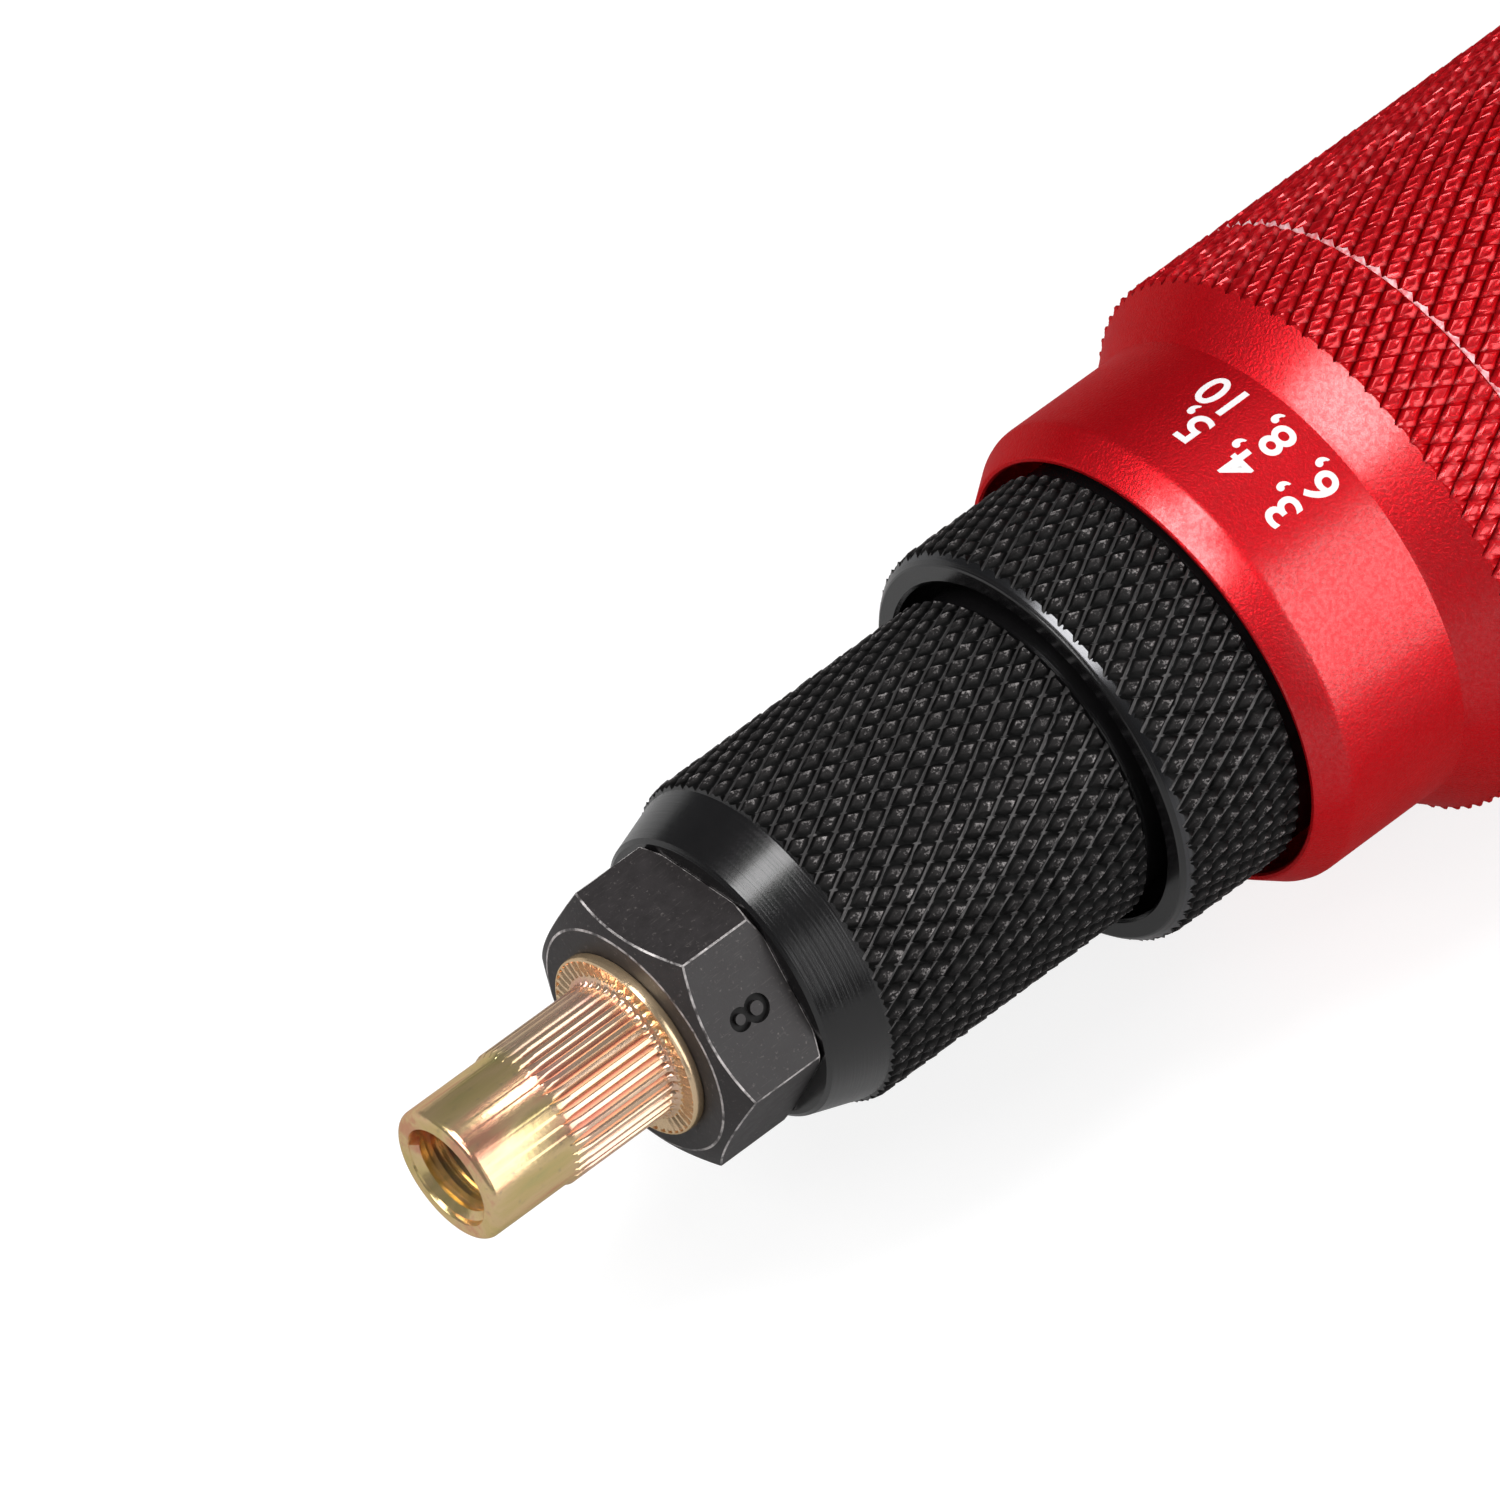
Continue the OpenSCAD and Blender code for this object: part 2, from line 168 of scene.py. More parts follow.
# %% A finish and its coordinates
class Finish(Bench):
    """A material that knows where a point is, in millimetres: its spot, its station x on
    the lathe and its reach from the axis."""

    def __init__(self, name):
        self.material = bpy.data.materials.new(name)
        self.material.use_nodes = True
        super().__init__(self.material.node_tree)
        self.skin = self.tree.nodes["Principled BSDF"]
        self.spot = self.scaled(self.add("TexCoord", out="Object"), 1 / MM)
        self.x, y, z = self.parts(self.spot)
        self.reach = calc("SQRT", y * y + z * z)

    def noise(self, scale, detail=2.0, roughness=0.5, squeeze=None):
        """Soft noise, 0 to 1, its scale in spots per millimetre. Squeeze makes it finer
        along the axis and across it."""
        spot = self.spot
        if squeeze:
            along, across = squeeze
            spot = self.add("VectorMath", {0: spot, 1: (along, across, across)},
                            {"operation": "MULTIPLY"})
        return self.add("TexNoise", {
            "Vector": spot, "Scale": scale, "Detail": detail, "Roughness": roughness})

    def dent(self, height, depth, strength):
        """A normal bent by a height that is up to this many millimetres deep."""
        return self.add("Bump", {"Strength": strength, "Distance": depth * MM, "Height": height})

    def paint(self, **values):
        """Fills the shader's sockets, named with _ for a space, and returns the material."""
        for name, value in values.items():
            plug(self.tree, self.skin.inputs[name.replace("_", " ")], value)
        return self.material


def mottled(name, first, second, noise, dull, spread=0.2, clip=None, dent=None, **more):
    """A finish of two colours in patches. The second one is rougher by the spread."""
    skin = Finish(name)
    patches = skin.noise(*noise)
    if clip:
        patches = patches.ramp(*clip)
    if dent:
        more["Normal"] = skin.dent(patches, *dent)
    return skin.paint(Base_Color=skin.mix(first, second, patches),
                      Roughness=dull + patches * spread, **more)


print("finishes can ask where they are")

# %% [markdown]
# ## Red anodised aluminium
# The body is aluminium, blasted to a fine grain and dyed red in its oxide. Light comes
# back twice: as a red glow from the metal and as a white glint from the clear oxide on
# top. A metallic base with a clear coat gives both, and a fine grain in the normal breaks
# the glints into sparkles. A third finish is bare metal where a cutter went through. On
# the knurled red, painted shade darkens the grooves and a painted highlight brightens the
# crests.

# %% Red finish for the housings
def red_anodised(name, crest=None):
    """Smooth red, or knurled red whose crests lie this many millimetres from the axis."""
    red = Finish(name)
    colour = red.mix((0.70, 0.005, 0.012), (0.82, 0.007, 0.016), red.noise(0.35, 3))
    grain = red.noise(4.4, 2, 0.6)
    aside = red.add("LayerWeight", {"Blend": 0.5}, out="Facing")
    coat = 1.0 - aside.ramp(0.06, 0.40) * 0.88
    if crest is None:
        specks = red.noise(2.8, 2, 0.7).ramp(0.40, 0.60)
        coat = coat * (0.56 + specks * 0.44)
        coat_ior = 1.76
        depth = 0.10
    else:
        # Painted shade: the red is painted darker towards the groove floors, and the coat is
        # thinned there too.
        groove_shade_ramp = red.reach.ramp(crest - 0.45, crest - 0.24)
        colour = red.mix((0.20, 0.001, 0.003), colour, groove_shade_ramp)
        # Painted highlight: the red is painted brighter on the crests.
        colour = red.mix(colour, (0.96, 0.045, 0.06), red.reach.ramp(crest - 0.10, crest))
        coat = coat * (0.1 + groove_shade_ramp * 0.9)
        coat_ior = 1.62
        depth = 0.06
    return red.paint(
        Base_Color=colour, Metallic=0.80, Specular_Tint=(1.0, 0.10, 0.13),
        Roughness=0.36 + grain * 0.12, Coat_Weight=coat, Coat_IOR=coat_ior,
        Coat_Roughness=0.25, Normal=red.dent(grain, depth, 0.9))


red_smooth = red_anodised("red_smooth")
red_finishes = [
    red_smooth,
    red_anodised("red_knurled", body_r / MM),
    mottled("red_cut", (0.90, 0.20, 0.23), (0.98, 0.80, 0.82), (1.7, 3.0), 0.38,
            clip=(0.35, 0.62), Metallic=0.35),
]
print("red finishes:", [material.name for material in red_finishes])

# %% [markdown]
# ## Blackened steel
# The nose, its lock ring and the anvil are steel turned black in a hot bath. The skin is
# thin: what rubs turns grey again first, so the crests of the knurling and the edges of
# the hexagon shine a little. Turning marks show on the smooth cone as fine rings, and a
# last cut left the ring's chamfer almost bare.

# %% Black finishes for the nose and the ring
def turned_black(name):
    """The black skin on smooth, turned steel."""
    black = Finish(name)
    cloud = black.noise(0.8, 3)
    grain = black.noise(4.5, 3, 0.6)
    rings = black.noise(1, 3, 0.7, (6, 0.03))
    return black.paint(
        Base_Color=black.mix((0.0040, 0.0038, 0.0042), (0.0075, 0.0070, 0.0074), cloud),
        Roughness=0.14 + rings * 0.12 + grain * 0.06, Coat_Weight=0.4,
        Coat_Roughness=0.16, Normal=black.dent(rings * 0.85 + grain * 0.15, 0.05, 0.9))


def knurled_black(name, crest):
    """The black skin on knurling whose crests lie this many millimetres from the axis. It
    is worn off the crests. Its lower flanks are painted darker, as painted shade, and the
    floors of the deeper grooves a lighter, glossier grey: partly a floor polished by the
    rolling, partly painted sheen for the light lines along them."""
    black = Finish(name)
    grain = black.noise(4.5, 3, 0.6)
    patches = black.noise(0.45, 2, 0.6).ramp(0.38, 0.62)
    rough_reach = black.reach + (grain - 0.5) * 0.5
    worn = rough_reach.ramp(crest - 0.07, crest + 0.06) * (0.15 + patches * 0.85)
    # The floors of the deeper grooves get a lighter, glossier grey: partly a polished floor,
    # partly painted sheen for the light lines along them.
    rolled = 1.0 - black.reach.ramp(crest - 0.455, crest - 0.43)
    # Painted shade: the lower flanks are painted darker towards the grooves.
    face = black.reach.ramp(crest - 0.28, crest - 0.10)
    colour = black.mix((0.0010, 0.0010, 0.0010), (0.020, 0.0185, 0.0185), face)
    colour = black.mix(colour, (0.46, 0.43, 0.425), worn)
    colour = black.mix(colour, (0.10, 0.096, 0.096), rolled * 0.8)
    return black.paint(
        Base_Color=colour, Metallic=worn * 0.8 + rolled * 0.6,
        Roughness=0.46 - worn * 0.28 - rolled * 0.18 + grain * 0.14,
        Specular_IOR_Level=0.10, Normal=black.dent(grain * (0.3 + worn * 0.7), 0.13, 0.9))


black_smooth = turned_black("black_smooth")
nose_finishes = [black_smooth, knurled_black("black_nose", nose_r / MM)]
ring_finishes = [
    black_smooth,
    knurled_black("black_ring", ring_r / MM),
    mottled("black_cut", (0.07, 0.07, 0.075), (0.14, 0.14, 0.145), (1.0, 3.0, 0.7, (5.0, 0.03)),
            0.16, 0.12, dent=(0.02, 0.8), Metallic=1.0),
]
print("black finishes:", [material.name for material in nose_finishes + ring_finishes])

# %% [markdown]
# Spanners and nuts touch the anvil, so its black is duller and full of tiny scratches,
# and its edges are rubbed to bare steel. The bevel fills a material slot of their own, so
# the bare metal sits exactly on them. The floor of its stamped mark is painted darker, as
# painted shade.

# %% Black finish for the anvil, and its rubbed edges
def anvil_black(name):
    black = Finish(name)
    cloud = black.noise(0.9, 4, 0.6)
    scratches = black.noise(1.2, 2, 0.5, (0.7, 7)).ramp(0.62, 0.76)
    specks = black.noise(2.6, 3, 0.7).ramp(0.62, 0.74)
    bare = scratches * 0.12 + specks * 0.45
    colour = black.mix((0.013, 0.011, 0.011), (0.030, 0.025, 0.026), cloud)
    return black.paint(
        Base_Color=black.mix(colour, (0.26, 0.23, 0.22), bare), Metallic=bare * 0.6,
        Roughness=0.42 + cloud * 0.2, Normal=black.dent(black.noise(4, 3), 0.02, 0.7))


def rubbed_steel(name):
    """Steel that shows in patches through the black skin."""
    steel = Finish(name)
    patches = steel.noise(0.55, 4, 0.7).ramp(0.40, 0.66)
    return steel.paint(
        Base_Color=steel.mix((0.06, 0.054, 0.054), (0.80, 0.75, 0.74), patches),
        Metallic=patches * 0.15, Roughness=0.30 + steel.noise(5) * 0.2)


anvil_finishes = [
    anvil_black("black_anvil"),
    rubbed_steel("worn_edge"),
    # Painted shade: the floor of the stamped mark is painted near black.
    mottled("mark_black", (0.003, 0.003, 0.003), (0.010, 0.009, 0.009), (4.0, 3.0), 0.5,
            Specular_IOR_Level=0.25),
]
print("anvil finishes:", [material.name for material in anvil_finishes])

# %% [markdown]
# ## Yellow passivated zinc
# Rivet nuts are zinc plated, then dipped in a bath that leaves a film thinner than a wave
# of light. Its thickness drifts over the part, and so does its colour: gold, rose, olive.
# A slow noise picks a place on a ramp of those colours.

# %% Gold and rose finish for the rivet nut
def passivated_zinc(name, stops):
    """Zinc whose film runs through these stops: each a place and a colour."""
    zinc = Finish(name)
    drift = zinc.noise(0.20, 2, 0.4, (0.5, 1))
    streak = zinc.noise(0.8, 3, 0.5, (0.25, 2.2))
    tint = zinc.add("ValToRGB", {0: drift * 0.8 + streak * 0.25})
    ramp = tint.socket.node.color_ramp
    while len(ramp.elements) < len(stops):
        ramp.elements.new(0.5)
    for element, (place, colour) in zip(ramp.elements, stops):
        element.position = place
        element.color = (*colour, 1.0)
    rosy = zinc.x.ramp(-10.0, -8.5) * 0.6
    pale = zinc.x.ramp(-0.5, -0.1) * zinc.reach.ramp(5.9, 6.3)
    # Painted shade: the floors between the splines are painted a darker rose.
    gap_shade = (1.0 - zinc.reach.ramp(5.28, 5.58)) * zinc.x.ramp(-9.9, -9.6)
    stain = zinc.noise(1.1, 4, 0.7).ramp(0.60, 0.72)
    colour = zinc.mix(tint, (0.90, 0.60, 0.52), rosy)
    colour = zinc.mix(colour, (0.90, 0.68, 0.42), pale * 0.8)
    colour = zinc.mix(colour, (0.66, 0.38, 0.32), gap_shade)
    colour = zinc.mix(colour, (0.34, 0.27, 0.24), stain * 0.5)
    return zinc.paint(
        Base_Color=colour, Metallic=0.84, Specular_Tint=(1.0, 0.86, 0.62),
        Roughness=0.15 + streak * 0.14,
        Normal=zinc.dent(streak + zinc.noise(2, 3), 0.014, 0.8))


gold_zinc = passivated_zinc("gold_zinc", (
    (0.30, (0.60, 0.57, 0.24)),
    (0.42, (0.80, 0.62, 0.28)),
    (0.52, (0.90, 0.66, 0.36)),
    (0.62, (0.82, 0.40, 0.26)),
    (0.72, (0.80, 0.48, 0.30)),
))
print("nut finish:", gold_zinc.name)

# %% [markdown]
# ## Plain steels and rubber
# Inside the tool sit ground and hardened steel pieces, bearings, a brass cage and rubber
# seals. They show when the tool is taken apart, so each gets a finish of its own.

# %% Finishes for the inner pieces and the handle
def turned_steel(name, dark, light, dull, lines):
    """Bare metal with rings: two colours, a roughness and how close the rings stand."""
    steel = Finish(name)
    rings = steel.noise(1, 2, 0.5, (lines, 0.05))
    colour = steel.mix(dark, light, rings * 0.6 + steel.noise(0.5, 3) * 0.4)
    return steel.paint(
        Base_Color=colour, Metallic=1.0, Roughness=dull + rings * 0.14,
        Normal=steel.dent(rings, 0.006, 0.6))


bright_steel = turned_steel("bright_steel", (0.42, 0.42, 0.43), (0.62, 0.62, 0.62), 0.20, 6.0)
ground_steel = turned_steel("ground_steel", (0.30, 0.30, 0.31), (0.50, 0.50, 0.50), 0.28, 2.0)
hard_dark = turned_steel("hard_dark", (0.05, 0.05, 0.055), (0.12, 0.12, 0.12), 0.32, 5.0)
cage_brass = turned_steel("cage_brass", (0.55, 0.36, 0.12), (0.75, 0.52, 0.20), 0.28, 4.0)
rubber_grain = (3.0, 4.0, 0.7)
grip_rubber = mottled("grip_rubber", (0.016, 0.016, 0.017), (0.0304, 0.0304, 0.0323),
                      rubber_grain, 0.55, dent=(0.03, 0.5))
seal_rubber = mottled("seal_rubber", (0.010, 0.010, 0.010), (0.019, 0.019, 0.019),
                      rubber_grain, 0.45, dent=(0.03, 0.5))
print("inner finishes ready")

# %% [markdown]
# ## A lathe in a few lines
# A turned piece is a closed outline of stations and radii, swept round the X axis. The
# angle starts at the top and runs towards -Y, the camera's side. Each outline repeats its
# CAD profile with finer roundings.

# %% Open, close and link meshes, and sweep an outline round the axis
def opened(*meshes):
    """One bmesh that holds these meshes."""
    bm = bmesh.new()
    for mesh in meshes:
        bm.from_mesh(mesh)
    return bm


def closed(bm, mesh, outwards=True):
    """Writes a bmesh to a mesh, or to a new one of this name."""
    if outwards:
        bmesh.ops.recalc_face_normals(bm, faces=bm.faces)
    if isinstance(mesh, str):
        mesh = bpy.data.meshes.new(mesh)
    bm.to_mesh(mesh)
    bm.free()
    return mesh


def link(name, data):
    piece = bpy.data.objects.new(name, data)
    scene.collection.objects.link(piece)
    return piece


def evaluated(piece):
    """What an object's modifiers make of it, as a plain mesh. The object is removed."""
    graph = bpy.context.evaluated_depsgraph_get()
    mesh = bpy.data.meshes.new_from_object(piece.evaluated_get(graph), depsgraph=graph)
    bpy.data.objects.remove(piece)
    return mesh


def profile(*runs):
    """The points of an outline, run by run. A run is a station and a radius in metres, then
    its points in millimetres from there, or none for that very point."""
    return [(x + dx * MM, r + dr * MM) for x, r, *run in runs for dx, dr in run or [(0, 0)]]


def on_circle(angle, reach):
    """The Y and Z of a point at this angle from the top and distance from the axis."""
    return -reach * math.sin(angle), reach * math.cos(angle)


def lathe(name, outline, segments=256):
    """A closed ring mesh from an outline of (station, radius) in metres."""
    bm = bmesh.new()
    rows = []
    for i in range(segments):
        angle = math.tau * i / segments
        rows.append([bm.verts.new((x, *on_circle(angle, r))) for x, r in outline])
    for row, after in zip(rows, rows[1:] + rows[:1]):
        for j in range(len(outline)):
            k = (j + 1) % len(outline)
            bm.faces.new((row[j], row[k], after[k], after[j]))
    bmesh.ops.remove_doubles(bm, verts=bm.verts, dist=1e-7)
    return closed(bm, name)


def soften(mesh, turned, rolled):
    """Smooth shading that keeps sharp edges. An edge is sharp where two slots meet, and
    past this angle: turned where a face has the first slot, rolled everywhere else."""
    mesh.shade_smooth()
    bm = opened(mesh)
    for edge in bm.edges:
        slots = {face.material_index for face in edge.link_faces}
        limit = turned if 0 in slots else rolled
        bent = edge.calc_face_angle(0.0) > math.radians(limit)
        edge.smooth = len(slots) == 1 and not bent
    return closed(bm, mesh, outwards=False)


def set_slots(mesh, materials, index=None):
    """Gives a mesh its material slots, and keeps or sets the slot of its faces."""
    kept = [face.material_index for face in mesh.polygons]
    mesh.materials.clear()
    for material in materials:
        mesh.materials.append(material)
    for face, old in zip(mesh.polygons, kept):
        face.material_index = old if index is None else index
    return mesh


def tidy(mesh, near=2e-6):
    """Welds doubles and turns the faces outwards."""
    bm = opened(mesh)
    bmesh.ops.remove_doubles(bm, verts=bm.verts, dist=near)
    bmesh.ops.dissolve_degenerate(bm, edges=bm.edges, dist=1e-7)
    return closed(bm, mesh)


def shaped(name, start, solver, steps):
    """Applies boolean steps, each an operation and a mesh, and returns a plain mesh."""
    piece = link(name + "_blank", start)
    helpers = []
    for operation, tool in steps:
        helpers.append(link(name + "_tool", tool))
        cut = piece.modifiers.new("Cut", "BOOLEAN")
        cut.operation = operation
        cut.solver = solver
        cut.object = helpers[-1]
    mesh = evaluated(piece)
    for helper in helpers:
        bpy.data.objects.remove(helper)
    return mesh


def finish_piece(name, mesh, body, node, materials):
    """A finished piece: its materials, its body and the CAD node it stands for."""
    mesh.name = name
    piece = link(name, set_slots(mesh, materials))
    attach(piece, body)
    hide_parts(node)
    print(name, "faces:", len(mesh.polygons))


print("lathe ready")

# %% [markdown]
# ## Knurling that repeats one stud
# Knurling is rolled in by two wheels whose grooves cross, which leaves a field of diamond
# studs. One stud is modelled, flat and one unit in size, with its corners where grooves
# cross. One wheel bites harder and leaves a narrow, flat floor in its grooves, taken as
# polished; the black finish paints it a lighter grey, partly as painted sheen. The
# other's are shallower, so the studs join in slanting rows. The rolling rounds the tops
# in steel; in the softer aluminium it pushes up a lip along the rear of each top.

# %% One flat stud
def stud_mesh(rings, middle_height, saddle, floor):
    """A diamond stud, 1 by 1 by 1. Rings are its top from the outside in: a share of the
    width and the heights of the four corners, rear one first. Saddle is how high the
    shallower grooves lie, floor the share where the flat floor of the deeper ones ends."""
    bm = bmesh.new()
    corners = [(0.5, 0), (0, 0.5), (-0.5, 0), (0, -0.5)]
    middles = [(0.25, 0.25), (-0.25, 0.25), (-0.25, -0.25), (0.25, -0.25)]

    def spots(places, share, heights):
        return [bm.verts.new((x * share, y * share, h)) for (x, y), h in zip(places, heights)]

    outer = spots(corners, 1, [0] * 4)
    outer_mid = spots(middles, 1, [0, saddle, 0, saddle])
    foot = spots(corners, floor, [0] * 4) if floor < 1 else outer
    foot_mid = spots(middles, floor, [0] * 4)
    tops = [spots(corners, share, heights) for share, heights in rings]
    centre = bm.verts.new((0, 0, middle_height))
    for i in range(4):
        k = (i + 1) % 4
        middle = outer_mid[i]
        if foot is not outer and i % 2 == 0:
            middle = foot_mid[i]
            bm.faces.new((outer[i], outer_mid[i], middle, foot[i]))
            bm.faces.new((outer_mid[i], outer[k], foot[k], middle))
        elif foot is not outer:
            bm.faces.new((outer[i], middle, foot[i]))
            bm.faces.new((middle, outer[k], foot[k]))
        bm.faces.new((foot[i], middle, tops[0][i]))
        bm.faces.new((middle, foot[k], tops[0][k]))
        bm.faces.new((middle, tops[0][k], tops[0][i]))
        for low, high in zip(tops, tops[1:]):
            bm.faces.new((low[i], low[k], high[k], high[i]))
        bm.faces.new((tops[-1][i], tops[-1][k], centre))
    loose = [v for v in bm.verts if not v.link_faces]
    bmesh.ops.delete(bm, geom=loose, context="VERTS")
    return closed(bm, "stud")


black_top = [
    (0.56, [0.62, 0.60, 0.52, 0.60]),
    (0.40, [1.0, 0.88, 0.62, 0.92]),
    (0.18, [0.90, 0.84, 0.70, 0.84]),
]
red_top = [
    (0.61, [0.74, 0.62, 0.36, 0.62]),
    (0.50, [1.0, 0.88, 0.44, 0.90]),
    (0.36, [0.80, 0.72, 0.50, 0.70]),
]
stud_black = link("stud_black", stud_mesh(black_top, 0.79, 0.30, 0.88))
stud_red = link("stud_red", stud_mesh(red_top, 0.65, 0.46, 1.0))
print("studs for the black and the red knurling are ready")

# %% [markdown]
# The tree below lays the stud out on a grid, every second row shifted by half a stud,
# rolls the field round the axis, welds it and closes both ends. The count round the bar
# is an input, so the studs always meet.

# %% A geometry tree that knurls a bar
class Grower(Bench):
    """A geometry tree. Its inputs are given by the type of their sockets."""

    def __init__(self, name, **labels):
        super().__init__(bpy.data.node_groups.new(name, "GeometryNodeTree"))
        labels = {"Geometry": "Geometry", "Material": "Material", **labels}
        sockets = [("OUTPUT", "Geometry", "Geometry")]
        sockets += [("INPUT", kind, word) for kind in labels for word in labels[kind].split()]
        for side, kind, word in sockets:
            self.tree.interface.new_socket(word, in_out=side, socket_type="NodeSocket" + kind)
        source = self.tree.nodes.new("NodeGroupInput")
        wires = {socket.name: Wire(self.tree, socket) for socket in source.outputs}
        self.given = SimpleNamespace(**wires)

    def position(self):
        return self.parts(self.add("GeometryNodeInputPosition"))

    def moved(self, shape, position, selection=None):
        return self.add("GeometryNodeSetPosition", {
            "Geometry": shape, "Position": position, "Selection": selection})

    def realized(self, shape):
        return self.add("GeometryNodeRealizeInstances", {"Geometry": shape})

    def welded(self, shape):
        return self.add("GeometryNodeMergeByDistance", {"Geometry": shape, "Distance": 0.01 * MM})

    def rim_pulled(self, shape, position):
        """Extrudes the open rims of a mesh and moves the new rims."""
        rim = self.add("FunctionNodeCompare",
                       {2: self.add("GeometryNodeInputMeshEdgeNeighbors"), 3: 1},
                       {"data_type": "INT", "operation": "EQUAL"})
        longer = self.add("GeometryNodeExtrudeMesh", {
            "Mesh": shape, "Selection": rim, "Offset Scale": 0.0}, {"mode": "EDGES"})
        new_rim = Wire(self.tree, longer.socket.node.outputs["Top"])
        return self.moved(longer, position, new_rim)

    def close(self, shape):
        """Ends the tree in Realize Instances, Set Material and its output."""
        dressed = self.add("GeometryNodeSetMaterial", {
            "Geometry": self.realized(shape), "Material": self.given.Material})
        end = self.tree.nodes.new("NodeGroupOutput")
        plug(self.tree, end.inputs[0], dressed)
        print(self.tree.name, "tree has", len(self.tree.nodes), "nodes")
        return self.tree


def knurling_tree():
    bench = Grower("knurled_bar", Object="Stud", Int="Studs Rows Seed",
                   Float="Radius Depth Pitch Start Front Back Unevenness")
    given = bench.given
    grid = bench.add("GeometryNodeMeshGrid", {"Vertices X": given.Rows, "Vertices Y": given.Studs})
    index = bench.add("GeometryNodeInputIndex")
    row = calc("FLOOR", (index + 0.5) / given.Studs)
    column = index - row * given.Studs
    shift = calc("MODULO", row, 2.0) * 0.5
    step = math.tau / given.Studs
    flat = bench.moved(grid, bench.joined(given.Start + row * given.Pitch * 0.5,
                                          (column + shift) * step, 0.0))
    stud = bench.add("GeometryNodeObjectInfo", {"Object": given.Stud}, out="Geometry")
    field = bench.realized(bench.add("GeometryNodeInstanceOnPoints", {
        "Points": flat, "Instance": stud,
        "Scale": bench.joined(given.Pitch, step, given.Depth)}))
    x, turn, height = bench.position()
    reach = given.Radius - given.Depth + height
    rolled = bench.welded(bench.moved(field, bench.joined(
        x, reach * calc("SINE", turn) * -1.0, reach * calc("COSINE", turn))))
    x, y, z = bench.position()
    middle = given.Start + given.Rows * given.Pitch * 0.25
    far = given.Front + (given.Back - given.Front) * calc("GREATER_THAN", x, middle)
    long_bar = bench.rim_pulled(rolled, bench.joined(far, y, z))
    solid = bench.welded(bench.rim_pulled(long_bar, bench.joined(x, 0.0, 0.0)))
    wobble = bench.add("FunctionNodeRandomValue", {
        0: (-1.0, -1.0, -1.0), 1: (1.0, 1.0, 1.0), "Seed": given.Seed},
        {"data_type": "FLOAT_VECTOR"})
    return bench.close(bench.add("GeometryNodeSetPosition", {
        "Geometry": solid, "Offset": bench.scaled(wobble, given.Unevenness)}))


knurled_bar = knurling_tree()

# %% Run a geometry tree, knurl a bar and cut an outline from it
KNURL_PITCH = 3.035 * MM
KNURL_DEPTH = 0.47 * MM
NOSE_STUDS = 51
RING_STUDS = 63
BODY_STUDS = 86
BARE = 2


def grown(tree, start=None, **sizes):
    """Runs a tree on a mesh with these named inputs and returns what it made."""
    host = link("host", start or bpy.data.meshes.new("host"))
    modifier = host.modifiers.new("Grow", "NODES")
    modifier.node_group = tree
    for item in tree.interface.items_tree:
        if item.in_out == "INPUT" and item.name in sizes:
            modifier[item.identifier] = sizes[item.name]
    return evaluated(host)


def knurled(name, body, node, outline, radius, studs, start, end, stud, finishes,
            cuts=(), bare=None):
    """A turned piece whose outline is cut from a knurled bar, then drilled. Finishes are
    the smooth metal, the knurled metal and bare metal; bare is a start and an end."""
    lo = min(outline)[0] - 3 * MM
    hi = max(outline)[0] + 3 * MM
    rows = int((end - start) / (KNURL_PITCH / 2)) + 1
    bar = grown(knurled_bar, Stud=stud, Radius=radius, Depth=KNURL_DEPTH, Studs=studs,
                Rows=rows, Pitch=KNURL_PITCH, Start=start, Front=lo, Back=hi,
                Unevenness=0.035 * MM, Seed=7, Material=finishes[1])
    set_slots(tidy(bar), finishes, 1)
    print(name, "bar:", rows, "rows of", studs, "studs")
    turned = set_slots(lathe(name + "_outline", outline), finishes, 0)
    if bare:
        for face in turned.polygons:
            reach = math.hypot(face.center.y, face.center.z)
            if bare[0] < face.center.x < bare[1] and reach > radius - MM:
                face.material_index = BARE
    steps = [("INTERSECT", turned)]
    steps += [("DIFFERENCE", set_slots(cut, finishes, 0)) for cut in cuts]
    mesh = soften(tidy(shaped(name, bar, "MANIFOLD", steps)), turned=16, rolled=48)
    finish_piece(name, mesh, body, node, finishes)


print("bars can be knurled and turned")

# %% [markdown]
# ## Nose housing
# The nose is one steel tube: a smooth cone, a long knurled grip, a neck for the lock ring
# and, inside the red body, a tail. The cone was turned after the knurling, so it ends in
# a jagged edge. Cutting the knurled bar with the turned outline gives that edge by itself.

# %% Nose housing
nose_front = 11.9 * MM
cone_len = 5.1 * MM
x_cone = x_nose + cone_len
slope = (nose_r - nose_front) / cone_len
clear = nose_r + 0.35 * MM
x_neck = x_ring - 1.2 * MM
x_step = x_ring + 4.3 * MM
tail_r = 12.1 * MM
ring_seat = tail_r - 2.1 * MM
x_thread = x_tail - 6 * MM
tube_r = 9 * MM
nose_outline = profile(
    (x_nose, nose_front, (0, -0.25)),
    (x_nose, nose_front + 0.25 * MM * slope, (0.25, 0)),
    (x_cone, nose_r - 0.5 * MM * slope, (-0.5, -0.30)),
    (x_cone, clear),
    (x_neck, clear, (-0.35, 0)),
    (x_neck, nose_r, (0.6, -0.6)),
    (x_step, nose_r, (0, -0.6)),
    (x_step, tail_r, (0, -0.6), (1, -0.6), (1.5, 0)),
    (x_thread, tail_r, (-0.6, 0), (0, -0.9)),
    (x_tail, tail_r, (-4, -0.9)),
    (x_tail, ring_seat, (-4, 0), (-2, 0)),
    (x_tail, tail_r, (-2, -0.9), (-0.4, -0.9), (0, -1.3)),
    (x_tail, tube_r, (0, 0.3), (-0.3, 0)),
    (x_nose, tube_r, (9.3, 0)),
    (x_nose, 0, (9.3, 5), (8, 5), (8, 8.02), (0.4, 8.02), (0, 8.4)),
)
